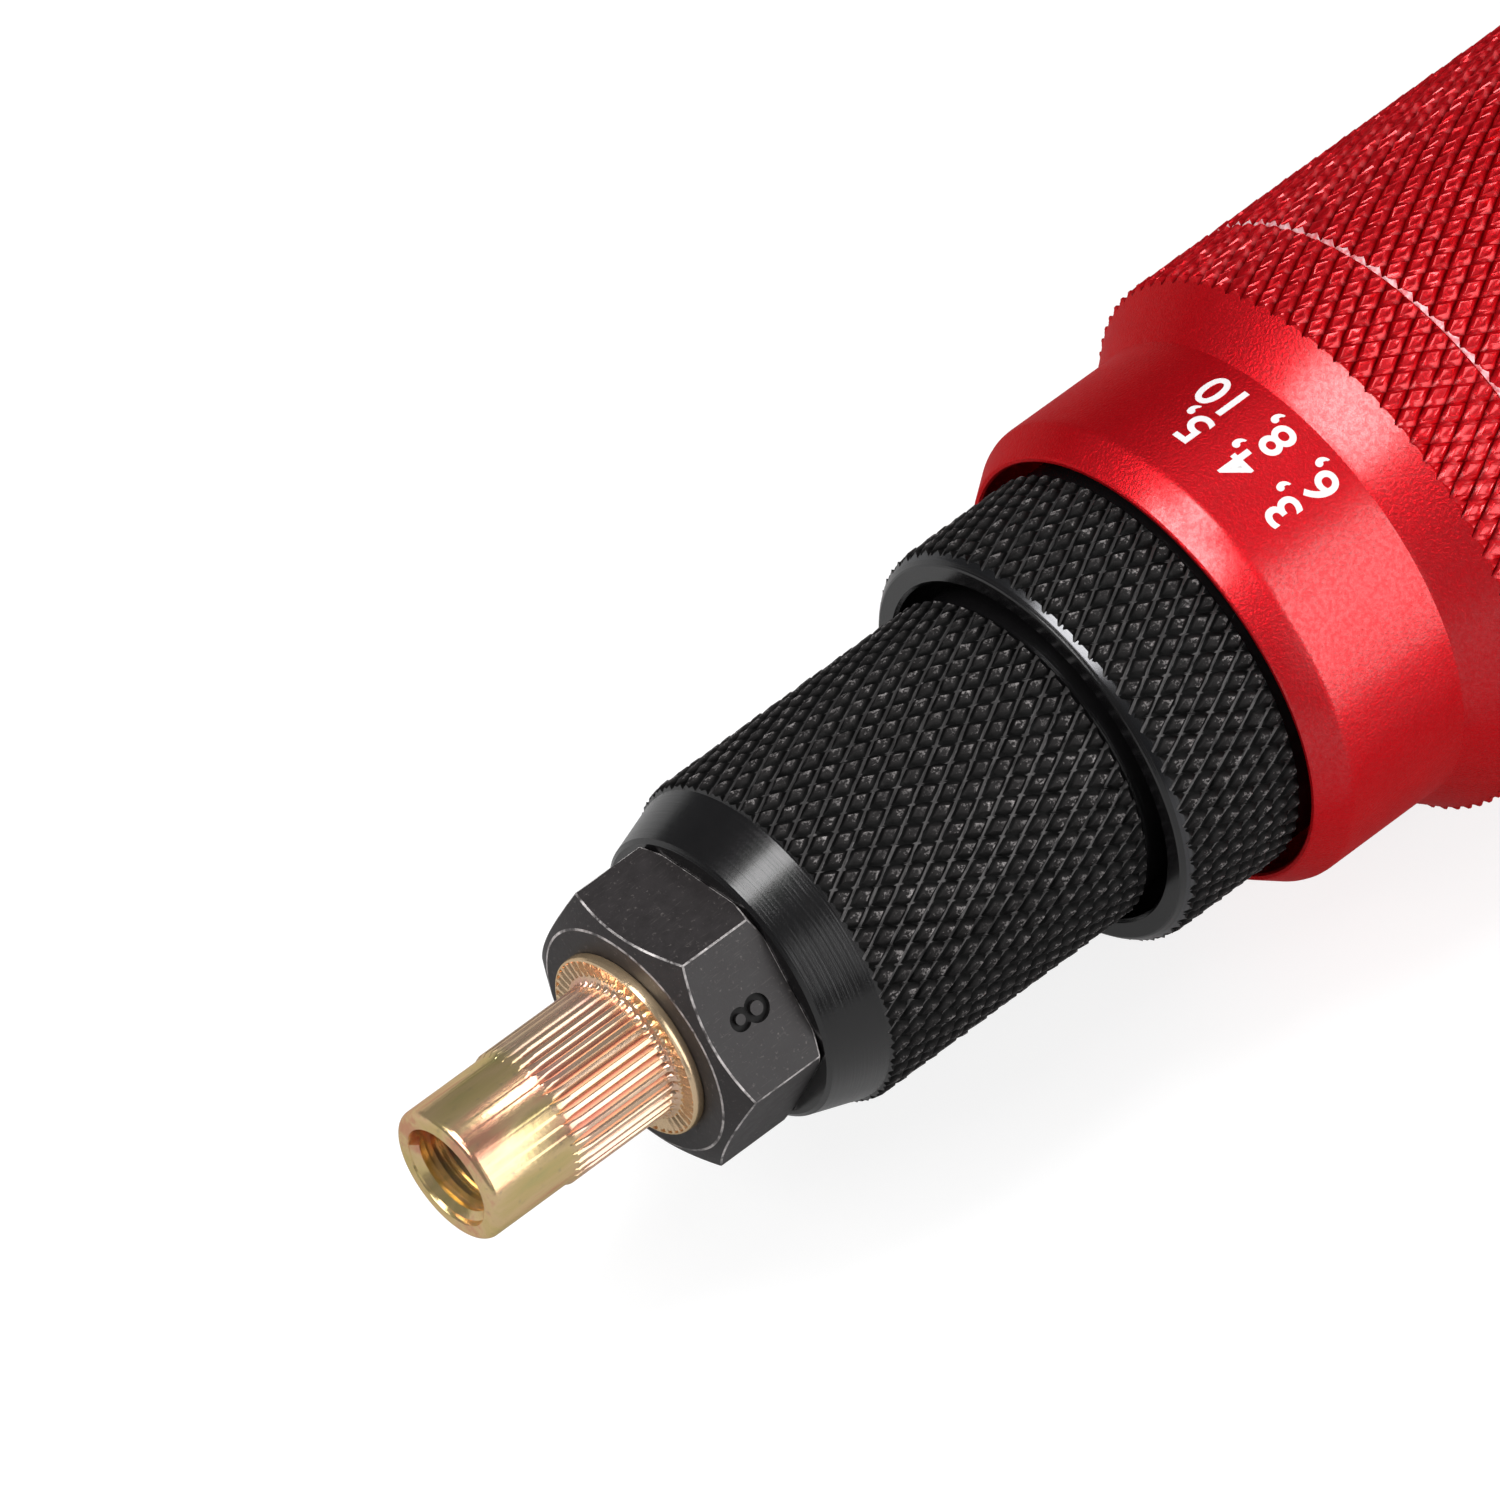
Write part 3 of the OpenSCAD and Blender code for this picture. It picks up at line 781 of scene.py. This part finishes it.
knurled("nose_knurled", "nose", "nose_housing", nose_outline, nose_r, NOSE_STUDS,
        x_nose + 4 * MM, x_neck + 1.4 * MM, stud_black, nose_finishes)

# %% [markdown]
# ## Lock ring
# The ring jams the nose housing once its depth is set. A polished chamfer runs round its
# front edge and cuts the first studs, so it ends in a jagged line and glints.

# %% Lock ring
ring_bore = 14.6 * MM
ring_root = ring_r - KNURL_DEPTH - 0.03 * MM
ring_clear = ring_r + 0.3 * MM
ring_outline = profile(
    (x_ring, ring_bore, (0, 0.25)),
    (x_ring, ring_r, (0, -1.00), (0.08, -0.85), (0.34, -0.60), (0.78, -0.28)),
    (x_ring, ring_clear, (1.20, 0)),
    (x_lip, ring_clear, (-0.5, 0)),
    (x_lip, ring_root),
    (x_floor, ring_root, (-0.8, 0)),
    (x_floor, ring_r, (-0.03, -1.2)),
    (x_floor, tail_r, (-0.03, 0.45), (-0.4, 0.05)),
    (x_ring, tail_r, (6.8, 0.05)),
    (x_ring, ring_bore, (6.8, 0), (0.25, 0)),
)
knurled("ring_knurled", "lock", "lock_ring", ring_outline, ring_r, RING_STUDS,
        x_ring + 0.2 * MM, x_lip + 1 * MM, stud_black, ring_finishes,
        bare=(x_ring + 0.3 * MM, x_ring + 0.9 * MM))

# %% [markdown]
# ## Front housing
# The red front piece has a bevelled lip, a smooth collar with the size numbers and a
# shoulder that runs into the knurled band, whose faces get the second material slot.

# %% Front housing
lip_r = 18.4 * MM
collar_r = 20 * MM
recess_r = ring_r + 0.8 * MM
x_collar = x_lip + 2.4 * MM
x_shoulder = x_collar + 11.3 * MM
x_band = x_shoulder + 4 * MM
body_clear = body_r + 0.3 * MM
front_outline = profile(
    (x_lip, recess_r, (0, 0.15)),
    (x_lip, lip_r, (0, -0.1), (0.12, 0.05)),
    (x_collar, collar_r, (-0.25, -0.14), (0.05, -0.03), (0.35, 0)),
    (x_shoulder, collar_r, (-0.5, 0), (-0.1, 0.05), (0.35, 0.30)),
    (x_band, body_r, (-0.75, -0.71), (-0.25, -0.30)),
    (x_band, body_clear),
    (x_seam, body_clear, (-0.45, 0)),
    (x_seam, body_r, (-0.12, -0.50), (0, -0.62)),
    (x_seam, 0, (0, 20)),
    (x_spigot, 0, (-0.6, 20), (0, 19.4)),
    (x_spigot, ring_seat, (0, 1.5)),
    (x_floor, ring_seat, (8.3, 1.5)),
    (x_floor, tail_r, (8, 0.05), (0.4, 0.05), (0, 0.45)),
    (x_floor, recess_r),
    (x_lip, recess_r, (0.15, 0)),
)
knurled("front_knurled", "housing", "front_housing", front_outline, body_r, BODY_STUDS,
        x_band - 2.2 * MM, x_seam + 2 * MM, stud_red, red_finishes)

# %% [markdown]
# ## Main body
# The main body carries the long knurled grip, a smooth band for the side handle and a
# rear band. The handle's seat and the holes are cut after the knurling.

# %% Main body
x_groove = x_seam + 40.8 * MM
x_rear = x_groove + 16 * MM
x_thrust = x_groove + 5 * MM
x_race = x_groove + 23 * MM
groove_r = body_r - 1 * MM
chamber_r = 16.5 * MM
cap_thread_r = 18.5 * MM
washer_r = 16.2 * MM
body_outline = profile(
    (x_seam, body_r, (0, -0.50), (0.44, 0)),
    (x_seam, body_clear, (0.72, 0)),
    (x_groove, body_clear, (-0.75, 0)),
    (x_groove, body_r, (0, -0.5)),
    (x_groove, groove_r, (0, 0.15), (0.15, 0)),
    (x_rear, groove_r, (-0.15, 0), (0, 0.15)),
    (x_rear, body_r, (0, -0.5)),
    (x_rear, body_clear, (0.75, 0)),
    (x_cap, body_clear, (-1.8, 0)),
    (x_cap, body_r, (0, -1.2)),
    (x_cap, cap_thread_r),
    (x_race, cap_thread_r, (-2, 0)),
    (x_race, washer_r, (-2, 0.8)),
    (x_thrust, washer_r, (0, 0.8)),
    (x_thrust, 0, (0, 10.5)),
    (x_groove, 0, (0, 10.5)),
    (x_groove, chamber_r),
    (x_spigot, chamber_r, (1, 0)),
    (x_spigot, 0, (1, 20.02)),
    (x_seam, 0, (0, 20.02)),
)

handle_len = 123 * MM
grip_r = 14 * MM
x_handle = x_groove + 8 * MM
tilt = math.asin(body_r / math.hypot(handle_len, grip_r)) - math.atan2(grip_r, handle_len)
to_handle = Matrix.Translation((x_handle, 0, 0)) @ Matrix.Rotation(math.pi / 2 + tilt, 4, "X")
to_grub = Matrix.Rotation(math.radians(-60), 4, "X") @ Matrix.Translation((x_cap - 6 * MM, 0, 0))


def pin(name, radius, start, end, matrix, segments=64):
    """A closed cylinder along the Z axis of a matrix, for drilling."""
    bm = bmesh.new()
    bmesh.ops.create_cone(bm, cap_ends=True, segments=segments, radius1=radius,
                          radius2=radius, depth=end - start)
    bm.transform(matrix @ Matrix.Translation((0, 0, (start + end) / 2)))
    return closed(bm, name, outwards=False)


body_cuts = [
    pin("stud_hole", 3.97 * MM, 14 * MM, 26 * MM, to_handle),
    pin("spot_face", 7.5 * MM, groove_r - 0.8 * MM, groove_r + 5 * MM, to_handle, 96),
    pin("grub_hole", 2.02 * MM, 16 * MM, 26 * MM, to_grub),
]
knurled("body_knurled", "housing", "main_body", body_outline, body_r, BODY_STUDS,
        x_seam - 2 * MM, x_cap + 2 * MM, stud_red, red_finishes, body_cuts,
        bare=(x_seam, x_seam + MM))

# %% [markdown]
# ## Anvil
# The anvil is a hexagon that a spanner turns into the nose. Its corners are turned off at
# about thirty degrees, so it is intersected with a steep double cone. A bevel then rounds
# every edge and paints it with the worn slot, and two rings stamp the figure eight.

# %% The hexagon between its two cones
anvil_af = 20.4 * MM
anvil_turn = math.radians(18.5)
anvil_corner = anvil_af / 2 / math.cos(math.radians(30))
anvil_clear = anvil_corner + 1 * MM
anvil_face = 9.5 * MM
anvil_back = anvil_af / 2 + 0.7 * MM
anvil_bore = 4.2 * MM
chamfer = math.tan(math.radians(31))
anvil_outline = [
    (x_anvil, anvil_bore),
    (x_anvil, anvil_face),
    (x_anvil + (anvil_clear - anvil_face) * chamfer, anvil_clear),
    (x_nose - (anvil_clear - anvil_back) * chamfer, anvil_clear),
    (x_nose, anvil_back),
    (x_nose, anvil_bore),
]


def hex_mesh(name, x0, x1):
    """A closed hexagonal bar between two stations."""
    bm = bmesh.new()
    angles = [anvil_turn + k * math.pi / 3 for k in range(6)]
    front, back = [[bm.verts.new((x, *on_circle(angle, anvil_corner))) for angle in angles]
                   for x in (x0, x1)]
    bm.faces.new(front)
    bm.faces.new(back)
    for k in range(6):
        j = (k + 1) % 6
        bm.faces.new((front[k], front[j], back[j], back[k]))
    return closed(bm, name)


anvil_mesh = shaped("anvil_hexagon", hex_mesh("hexagon", x_anvil - MM, x_nose + MM), "EXACT", [
    ("INTERSECT", lathe("anvil_outline", anvil_outline, 192)),
])
tidy(anvil_mesh, 0.06 * MM)
print("anvil faces:", len(anvil_mesh.polygons))

# %% Bevel the anvil's edges into the worn slot, stamp its mark and add its spigot
WORN = 1
MARK = 2
blank = link("anvil_blank", set_slots(anvil_mesh, anvil_finishes))
bevel = blank.modifiers.new("Bevel", "BEVEL")
bevel.width = 0.10 * MM
bevel.segments = 2
bevel.limit_method = "ANGLE"
bevel.angle_limit = math.radians(25)
bevel.material = WORN
bevel.use_clamp_overlap = False
anvil_mesh = evaluated(blank)

mark_angle = anvil_turn + math.radians(30)
outward = Vector((0, *on_circle(mark_angle, 1)))
reading = Vector((0, math.cos(mark_angle), math.sin(mark_angle)))
mark_spot = Vector((x_anvil + 4.4 * MM, 0, 0)) + outward * (anvil_af / 2)


def stamp(name, shift, inner, outer):
    """One loop of a stamped eight: a ring that stands in the face of the hexagon."""
    deep = 0.35 * MM
    ring = lathe(name, [(-deep, inner), (-deep, outer), (deep, outer), (deep, inner)], 40)
    frame_of = Matrix((outward, reading, outward.cross(reading))).transposed().to_4x4()
    ring.transform(Matrix.Translation(mark_spot + Vector((shift, 0, 0))) @ frame_of)
    return "DIFFERENCE", set_slots(ring, anvil_finishes, MARK)


anvil_mesh = shaped("anvil_marked", anvil_mesh, "EXACT", [
    stamp("small_loop", -0.95 * MM, 0.42 * MM, 0.92 * MM),
    stamp("large_loop", 0.62 * MM, 0.55 * MM, 1.10 * MM),
])
spigot = lathe("spigot", profile(
    (x_nose, 0, (-0.5, 4.2), (-0.5, 8), (7.2, 8), (7.8, 7.4), (7.8, 4.2))), 128)
closed(opened(anvil_mesh, spigot), anvil_mesh, outwards=False)
finish_piece("anvil_hexagon", soften(anvil_mesh, 28, 28), "nose", "anvil", anvil_finishes)

# %% [markdown]
# ## Rivet nut
# A straight knurl on the turned barrel makes the splines that grip the sheet. A tree moves
# the points of a finely turned barrel in and out: a wave in the angle, which fades at both
# ends of the splined half. With other numbers it cuts the serrations under the flange.

# %% A geometry tree that cuts flutes round a turned piece
def flutes_tree():
    bench = Grower("flutes", Int="Count", Float="Depth Width From To Fade Inner Outer Along")
    given = bench.given
    x, y, z = bench.position()
    reach = calc("SQRT", y * y + z * z)
    turn = calc("ARCTAN2", y * -1, z)
    wave = calc("FRACT", turn * given.Count / math.tau) - 0.5
    ridge = calc("ABSOLUTE", wave) * 2
    begin = (x - given.From) / given.Fade
    end = (given.To - x) / given.Fade
    ease = calc("MINIMUM", calc("MINIMUM", begin, end), 1)
    groove = calc("MAXIMUM", ease - ridge / given.Width, 0)
    inside = calc("GREATER_THAN", reach, given.Inner)
    outside = calc("LESS_THAN", reach, given.Outer)
    cut = groove * given.Depth * inside * outside
    factor = 1 - cut / reach * (1 - given.Along)
    place = bench.joined(x + cut * given.Along, y * factor, z * factor)
    return bench.close(bench.moved(given.Geometry, place))


flutes = flutes_tree()

# %% Turn the barrel and press its splines and serrations
nut_r = 5.5 * MM
spline_r = nut_r + 0.18 * MM
x_spline = -9.9 * MM
x_full = x_spline + 0.35 * MM
x_under = -1.2 * MM
mouth_round = 0.6 * MM
round_steps = 8
spline_steps = 16
barrel = [(x_mouth, 4.15 * MM)]
for i in range(round_steps + 1):
    t = math.radians(180 - 90 * i / round_steps)
    barrel.append((x_mouth + mouth_round + mouth_round * math.cos(t),
                   nut_r - mouth_round + mouth_round * math.sin(t)))
barrel += [(x_spline, nut_r), (x_full, spline_r)]
barrel += [(x_full + i / spline_steps * (x_under - x_spline - 0.35 * MM), spline_r)
           for i in range(1, spline_steps)]
barrel += profile(
    (x_under, spline_r),
    (0, spline_r, (-0.6, 0), (-0.35, 0.03), (-0.15, 0.12), (-0.04, 0.26)),
    (0, spline_r, (0, 0.42), (0, 0.50)),
    (0, nut_r, (0, 1.1), (0, 1.5), (0, 1.8)),
    (0, flange_r, (0.02, -0.2), (0.08, -0.06), (0.22, 0), (0.80, 0), (0.94, -0.06)),
    (0, flange_r, (1, -0.2)),
    (0, 0, (1, 4.5), (-8.5, 4.5), (-9, 3.65), (-12.7, 3.65), (-13.1, 4.02)),
    (x_mouth, 0, (0.25, 4.02)),
)
nut_mesh = grown(flutes, lathe("nut_barrel", barrel, 480), Count=40, Depth=0.40 * MM,
                 Width=0.60, From=x_spline, To=0.7 * MM, Fade=1.1 * MM, Inner=5.45 * MM,
                 Outer=5.9 * MM, Along=0.0, Material=gold_zinc)
nut_mesh = grown(flutes, nut_mesh, Count=48, Depth=0.30 * MM, Width=0.9, From=-0.03 * MM,
                 To=0.04 * MM, Fade=0.02 * MM, Inner=6.15 * MM, Outer=7.35 * MM, Along=1.0,
                 Material=gold_zinc)
print("nut faces:", len(nut_mesh.polygons))

# %% [markdown]
# ## Threads
# A screw thread is one V-shaped ridge that follows a helix. A tree makes the helix as a
# spiral curve and sweeps a small square along it, whose inner half stays in the metal.

# %% A geometry tree that winds a thread
THREAD_PITCH = 1.25 * MM


def thread_tree():
    bench = Grower("thread", Float="Radius Pitch Turns Height Start")
    given = bench.given
    spiral = bench.add("GeometryNodeCurveSpiral", {
        "Resolution": 64, "Rotations": given.Turns, "Start Radius": given.Radius,
        "End Radius": given.Radius, "Height": given.Turns * given.Pitch})
    square = bench.add("GeometryNodeCurvePrimitiveCircle",
                       {"Resolution": 4, "Radius": given.Height}, {"mode": "RADIUS"})
    ridge = bench.add("GeometryNodeCurveToMesh", {
        "Curve": spiral, "Profile Curve": square, "Fill Caps": True})
    x, y, z = bench.position()
    return bench.close(bench.moved(ridge, bench.joined(given.Start + z, x, y)))


thread = thread_tree()


def threaded(mesh, radius, turns, height, start, material):
    """Adds a thread to a turned piece."""
    ridge = grown(thread, Radius=radius, Pitch=THREAD_PITCH, Turns=turns, Height=height,
                  Start=start, Material=material)
    return soften(closed(opened(mesh, ridge), mesh), 32, 32)


# %% Nut with its thread
threaded(nut_mesh, 4 * MM, 2.9, 0.52 * MM, x_mouth + 0.55 * MM, gold_zinc)
finish_piece("rivet_nut_splined", nut_mesh, "nut", "rivet_nut", [gold_zinc])

# %% [markdown]
# ## Mandrel
# The mandrel is the screw that pulls the nut. Its whole thread shows once the nut is set
# and unscrewed. The same tree winds its ridge.

# %% Threaded mandrel
core_r = 3.12 * MM
head_r = mandrel_hi.z
x_head = x_nose + 16.8 * MM
mandrel_outline = profile(
    (mandrel_lo.x, 0, (0, 0.02)),
    (mandrel_lo.x, core_r, (0, -0.7), (0.5, 0)),
    (x_anvil, core_r, (0.8, 0)),
    (x_anvil, 0, (1.2, 3.88)),
    (x_head, 0, (-0.3, 3.88), (0, 4.2)),
    (x_head, head_r, (0, -0.3), (0.3, 0)),
    (mandrel_hi.x, head_r, (-0.5, 0), (0, -0.5)),
    (mandrel_hi.x, 0, (0, 0.02)),
)
mandrel_turns = (x_anvil - mandrel_lo.x - 1 * MM) / THREAD_PITCH
mandrel_mesh = tidy(lathe("mandrel_turned", mandrel_outline, 96), 5e-5)
threaded(mandrel_mesh, 3.15 * MM, mandrel_turns, 0.44 * MM, mandrel_lo.x + 0.9 * MM, hard_dark)
finish_piece("mandrel_threaded", mandrel_mesh, "mandrel_pin", "mandrel", [hard_dark])

# %% [markdown]
# ## Handle grip
# The side handle has a moulded rubber grip: a rim at each end, a belly and flutes along
# it. It is turned along X, where the flute tree works, and then laid along the handle.

# %% Fluted rubber grip
grip_start = 40 * MM
grip_waist = grip_r - 2.6 * MM
belly_start = grip_start + 6 * MM
belly_end = handle_len - 12 * MM
belly_steps = 48
shares = [i / belly_steps for i in range(belly_steps + 1)]
grip_outline = profile(
    (grip_start, 0, (0, 5.05)),
    (grip_start, grip_r, (0, -2), (0.3, -1.6), (1, -1.4), (3.8, -1.4), (4.6, -1.8)),
    (grip_start, grip_waist, (5.3, 0.1)),
)
grip_outline += [(belly_start + share * (belly_end - belly_start),
                  grip_waist + 1.2 * MM * math.sin(share * math.pi)) for share in shares]
grip_outline += profile(
    (handle_len, grip_waist, (-10.4, 0.2), (-9.2, 0.9)),
    (handle_len, grip_r, (-8, -0.9), (-7.2, -0.25), (-6.3, 0), (-0.4, 0)),
    (handle_len, grip_r, (0.5, -0.4), (1, -0.9), (1.2, -1.5)),
    (handle_len, 0, (1.2, 9.05), (-0.9, 9.05), (-0.9, 5.05)),
)
grip_mesh = grown(flutes, lathe("grip_turned", grip_outline, 288), Count=24, Depth=0.9 * MM,
                  Width=0.62, From=belly_start + 1.5 * MM, To=belly_end - 1.5 * MM,
                  Fade=6 * MM, Inner=10 * MM, Outer=13.5 * MM, Along=0.0,
                  Material=grip_rubber)
grip_mesh.transform(to_handle @ Matrix.Rotation(-math.pi / 2, 4, "Y"))
soften(grip_mesh, 40, 40)
finish_piece("handle_grip_fluted", grip_mesh, "housing", "handle_grip", [grip_rubber])

# %% [markdown]
# ## Size numbers on the collar
# The print on the collar is plain numbers. They are made flat, cut into narrow strips so
# that they can bend, and wrapped round the collar as a thin film on the metal.

# %% Numbers wrapped round the collar
ink = mottled("white_ink", (0.86, 0.84, 0.84), (0.95, 0.94, 0.94), (2.5, 4.0, 0.6), 0.45)


def wrapped_print(name, text, middle_x, middle_angle):
    """A line of numbers as a film on the collar."""
    size = 4.2 * MM
    film = 0.03 * MM
    strip = 0.4 * MM
    curve = bpy.data.curves.new(name, "FONT")
    curve.body = text
    curve.size = size
    curve.align_x = "CENTER"
    curve.align_y = "CENTER"
    curve.extrude = film / 2
    curve.offset = size * 0.014
    curve.space_word = 1.5
    bm = opened(tidy(evaluated(link(name, curve)), 1e-8))
    width = max(abs(v.co.x) for v in bm.verts)
    cut = -width
    while cut < width:
        everything = [*bm.verts, *bm.edges, *bm.faces]
        bmesh.ops.bisect_plane(bm, geom=everything, plane_co=(cut, 0, 0), plane_no=(1, 0, 0))
        cut += strip
    for v in bm.verts:
        angle = middle_angle - v.co.x / collar_r
        reach = collar_r + 0.02 * MM + v.co.z
        v.co = (middle_x - v.co.y, *on_circle(angle, reach))
    return closed(bm, name)


first_line = wrapped_print("first_line", "3, 4, 5,", x_lip + 7.3 * MM, math.radians(5))
second_line = wrapped_print("second_line", "6, 8, 10", x_lip + 11 * MM, math.radians(4))
print_mesh = closed(opened(first_line, second_line), "size_numbers", outwards=False)
print_piece = link("size_numbers", set_slots(print_mesh, [ink]))
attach(print_piece, "housing")
print("print faces:", len(print_mesh.polygons))

# %% [markdown]
# ## Finishes for the pieces that keep their CAD shape
# The remaining nodes have the right shape already and get the finish of their material.

# %% Give every remaining node its finish and take away the helpers
finished_nodes = (
    (red_smooth, "rear_cap"),
    (bright_steel, "bearing_outer bearing_inner bearing_balls thrust_balls"),
    (ground_steel, "thrust_washer_housing thrust_washer_shaft drive_shaft drive_rod"),
    (ground_steel, "carriage guide_key_top guide_key_bottom handle_rod"),
    (hard_dark, "cap_grub_screw shaft_circlip mandrel_retainer handle_nut handle_cap"),
    (cage_brass, "thrust_cage"),
    (seal_rubber, "shaft_seal tail_o_ring"),
)
for material, names in finished_nodes:
    for name in names.split():
        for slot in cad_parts[name].material_slots:
            slot.material = material
    print(material.name, "on", names)
for helper in (stud_black, stud_red):
    bpy.data.objects.remove(helper)

# %% [markdown]
# ## Floor and light
# The photograph was taken on white. A long strip light above the tool makes the narrow
# glints along the top, and a large soft light at the right makes the broad red glow. The
# floor looks white to the camera, and a little of that white reaches the metal.

# %% Floor
def floor_finish(name):
    """A dull grey that takes shadows, with a white glow for the rays that look at it."""
    grey = Finish(name)
    ray = "LightPath"
    camera = grey.add(ray, out="Is Camera Ray")
    glossy = grey.add(ray, out="Is Glossy Ray")
    through = grey.add(ray, out="Is Transmission Ray")
    skin = Wire(grey.tree, grey.skin.outputs[0])
    glow = grey.add("Emission", {"Color": (1.0, 1.0, 1.0), "Strength": 0.80})
    both = grey.add("AddShader", {0: skin, 1: glow})
    seen = camera + glossy * 0.2 + through
    choice = grey.add("MixShader", {0: seen, 1: skin, 2: both})
    plug(grey.tree, grey.tree.nodes["Material Output"].inputs[0], choice)
    return grey.paint(
        Base_Color=(0.30, 0.30, 0.30), Roughness=0.9, Specular_IOR_Level=0.0)


floor_z = -body_r
bm = bmesh.new()
bmesh.ops.create_grid(bm, x_segments=8, y_segments=8, size=6.0)
floor_mesh = closed(bm, "floor", outwards=False)
floor_mesh.transform(Matrix.Translation((0, 0, floor_z - 0.2 * MM)))
floor = link("floor", set_slots(floor_mesh, [floor_finish("floor_white")]))
print("floor at", floor_z)

# %% Lamps
def lamp(name, spot, aim, width, height, glow):
    """A soft box whose face shines with this radiance."""
    data = bpy.data.lights.new(name, "AREA")
    data.shape = "RECTANGLE"
    data.size = width
    data.size_y = height
    data.energy = glow * math.pi * width * height
    light = link(name, data)
    direction = (Vector(aim) - Vector(spot)).normalized()
    light.rotation_euler = direction.to_track_quat("-Z", "Y").to_euler()
    light.location = spot
    return light


def strip_above(name, start, end, width, glow):
    """A long lamp, half a metre up, that runs between two points and shines down."""
    a = Vector((*start, 0.5))
    b = Vector((*end, 0.5))
    light = lamp(name, (a + b) / 2, (a + b) / 2 - Vector((0, 0, 1)), (b - a).length, width, glow)
    light.rotation_euler = (0.0, 0.0, math.atan2(b.y - a.y, b.x - a.x))
    return light


lamps = [
    strip_above("strip_light", (-0.22, 0.088), (0.06, 0.064), 0.15, 8.3),
    strip_above("wide_strip", (-0.62, 0.108), (-0.26, 0.080), 0.44, 7.4),
    lamp("side_box", (0.46, -0.77, 0.40), (0.02, 0.0, 0.0), 0.85, 1.15, 2.4),
    lamp("front_box", (-0.24, -0.83, 0.48), (0.0, 0.0, 0.0), 0.40, 0.6, 0.45),
    lamp("back_box", (0.76, 0.30, 0.62), (0.04, 0.0, 0.0), 0.4, 0.4, 2.0),
]
print("lamps:", [light.name for light in lamps])

# %% World: white to the camera, dim to everything else
world = bpy.data.worlds.new("studio")
world.use_nodes = True
sky = Bench(world.node_tree)
dim = sky.add("Background", {"Color": (0.95, 0.97, 1.0), "Strength": 0.10})
white = sky.add("Background", {"Color": (1.0, 1.0, 1.0)})
camera_ray = sky.add("LightPath", out="Is Camera Ray")
choice = sky.add("MixShader", {0: camera_ray, 1: dim, 2: white})
plug(sky.tree, sky.tree.nodes["World Output"].inputs[0], choice)
scene.world = world
scene.view_settings.view_transform = "Standard"
print("world:", world.name)

# %% [markdown]
# ## Camera
# The photograph looks down at the nose from its front left, through a long lens from over
# a metre away, which leaves almost no perspective.

# %% Camera
cam_back = Vector((-0.4199, -0.4559, 0.7848)).normalized()
cam_right = Vector((0.7355, -0.6775, 0.0)).normalized()
cam_up = cam_back.cross(cam_right)
cam_data = bpy.data.cameras.new("camera")
cam_data.sensor_fit = "HORIZONTAL"
cam_data.sensor_width = 36.0
cam_data.lens = 397.44
camera = link("camera", cam_data)
spot = 1.2 * cam_back + 9.09 * MM * cam_right + 21.56 * MM * cam_up
turn = Matrix((cam_right, cam_up, cam_back)).transposed()
camera.matrix_world = Matrix.Translation(spot) @ turn.to_4x4()
scene.camera = camera
print("camera at", [round(v, 4) for v in spot])
